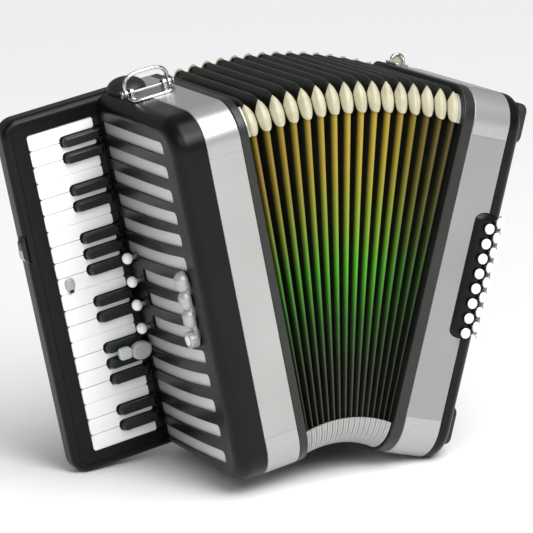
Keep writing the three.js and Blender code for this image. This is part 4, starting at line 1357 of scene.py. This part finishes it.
smallPlan = {
    "knobKeyZ": 206.0, "knobU": 152.0, "leverZ": 121.0, "leverY": 80.0, "strapEnd": (50.0, 78.0),
    "slideZ": 260.0,
}


def addSmallFittings(plan):
    # a pear-shaped tab with a dark foot on one white key
    boxes = {name: localBox(name, "treble") for name in whiteNames}
    name = next(n for n in whiteNames if boxes[n][0][2] < plan["knobKeyZ"] <= boxes[n][1][2])
    z = (boxes[name][0][2] + boxes[name][1][2]) / 2
    x = -bellowsPlan["half"] - plan["knobU"]
    top = keyPlan["top"]
    pear = slab([(x - 5.5, z - 1), (x - 2.6, z - 8), (x + 2.6, z - 8), (x + 5.5, z - 1), (x + 5.5, z + 8),
                 (x - 5.5, z + 8)], [3, 1.6, 1.6, 3, 5.2, 5.2], "y", top - 3.4, top + 0.3, (2.2, 0.2), 8, 6)
    foot = slab(rectangle(x - 2.5, x + 2.5, z - 8, z - 4.4), 0.8, "y", top - 3.9, top - 2.6, 0.3)
    finished("key_tab", [(pear, 0), (foot, 1)], [satinNickel, blackKeyPlastic], name, "treble")
    # a thumb lever on the cover's face: an oval boss and a square end
    y, z = plan["leverY"], plan["leverZ"]
    turn = np.linspace(0, 2 * np.pi, 24, endpoint=False)
    oval = np.stack([coverFace - 11 + 12 * np.cos(turn), z - 2 + 10 * np.sin(turn)], 1)
    boss = slab(oval, 3.0, "y", y - 5, y + 3, (3.5, 0.4), 1, 6)
    square = rectangle(coverFace - 37, coverFace - 23, z - 6, z + 7)
    end = slab(square, 3.5, "y", y - 4, y + 2, (1.6, 0.4), 6, 4)
    bar = slab(rectangle(coverFace - 25, coverFace + 1, z - 3, z + 3), 1.0, "y", y - 2, y + 1, 0.4)
    finished("thumb_lever", [(boss, 0), (end, 1), (bar, 0)], [greyKnobPlastic, paleKnobPlastic], "treble",
             "treble")
    # a strap slide on the keyboard's outer side, with an ivory inlay
    side, z = localBox("keyboard_bed", "treble")[0][0], plan["slideZ"]
    wedge = [(side + 1, z - 17), (side + 1, z + 17), (side - 5, z + 9), (side - 5, z - 7)]
    body = slab(wedge, [1, 1, 6, 6], "y", 92, 104, 1.2, 6)
    inlay = slab([(side - 3.4, z - 12), (side - 3.4, z + 1), (side - 5.9, z + 2), (side - 5.9, z - 8)],
                 0.8, "y", 93.5, 102.5, 0.5)
    finished("strap_slide", [(body, 0), (inlay, 1)], [blackKeyPlastic, creamCelluloid], "treble", "treble")
    # the shoulder strap's end, a leather dome behind the bail
    u, back = plan["strapEnd"]
    dome = revolved(ballProfile(1.0, boxTop - 11, boxTop + 14, 20), "z", (0, 0), 48)
    dome = moved(dome, lambda points: points * [20, 25, 1] + [-bellowsPlan["half"] - u, back, 0])
    finished("strap_end", [(dome, 0)], [blackLeather], "treble", "treble", weighted=False)
    # the bass side's strap bracket, at the back of its top
    plate = slab(rectangle(54, 74, 82, 108), 6, "z", boxTop + 0.2, boxTop + 2.6, 0.8, 8)
    turn = np.linspace(0, np.pi, 25)
    arch = np.stack([64 - 8.5 * np.cos(turn), np.full(25, 95.0), boxTop + 2 + 10 * np.sin(turn)], 1)
    loop = tube(arch, 1.6, 12)
    pad = slab([(56, boxTop + 1), (72, boxTop + 1), (72, boxTop + 12), (56, boxTop + 12)], [1, 1, 5.5, 5.5],
               "y", 97.4, 99.2, 0.6, 8)
    finished("bass_strap_bracket", [(plate, 0), (loop, 0), (pad, 1)], [chrome, creamCelluloid], "bass", "bass",
             weighted=False)


addSmallFittings(smallPlan)
print("small fittings are made")

# the inner parts that stay as the frame has them

for node, material in {
    "treble_soundboard": birchPly, "treble_reed_block": spruceWood, "bass_reed_block": spruceWood,
    "key_axle": drawnSteel,
}.items():
    frame["nodes"][node].data.materials.clear()
    frame["nodes"][node].data.materials.append(material)

# floor and light


def addStage():
    # a floor 80 m wide
    mesh = bpy.data.meshes.new("floor")
    mesh.from_pydata([(-40, -40, 0), (40, -40, 0), (40, 40, 0), (-40, 40, 0)], [], [(0, 1, 2, 3)])
    paper = mouldedMaterial("White studio paper", {
        "colour": "#fbfbfb", "second": "#fcfcfc", "cloud": 900, "grain": 3.0, "rough": 0.8, "spread": 0.05,
        "bump": 0.02, "height": 0.05,
    })
    mesh.materials.append(paper)
    linked("floor", mesh)


def addLamp(name, kind, energy, spot, aim, size):
    # a lamp at the spot, its back pointing away from the aim
    data = bpy.data.lights.new(name, kind)
    data.energy = energy
    if kind == "SUN":
        data.angle = math.radians(size)
    else:
        data.shape = "DISK"
        data.size = size
    back = np.array(spot, float) - np.array(aim, float)
    back /= np.linalg.norm(back)
    right = np.cross([0, 0, 1], back)
    right /= np.linalg.norm(right)
    turnTo(linked(name, data), right, np.cross(back, right), back, spot)


addStage()
addLamp("sky", "SUN", 2.2, (0.6, -1.2, 2.6), (0, 0, 0.2), 50)
addLamp("keySoftbox", "AREA", 24, (0.1, -1.7, 1.5), (0, 0, 0.2), 1.1)
addLamp("leftSoftbox", "AREA", 8, (-1.2, -1.6, 1.3), (0, 0, 0.2), 1.2)

world = bpy.data.worlds.new("world")
bpy.context.scene.world = world
world.use_nodes = True
world.node_tree.nodes["Background"].inputs["Color"].default_value = (0.95, 0.96, 1.0, 1.0)
world.node_tree.nodes["Background"].inputs["Strength"].default_value = 0.28
bpy.context.scene.view_settings.view_transform = "Standard"
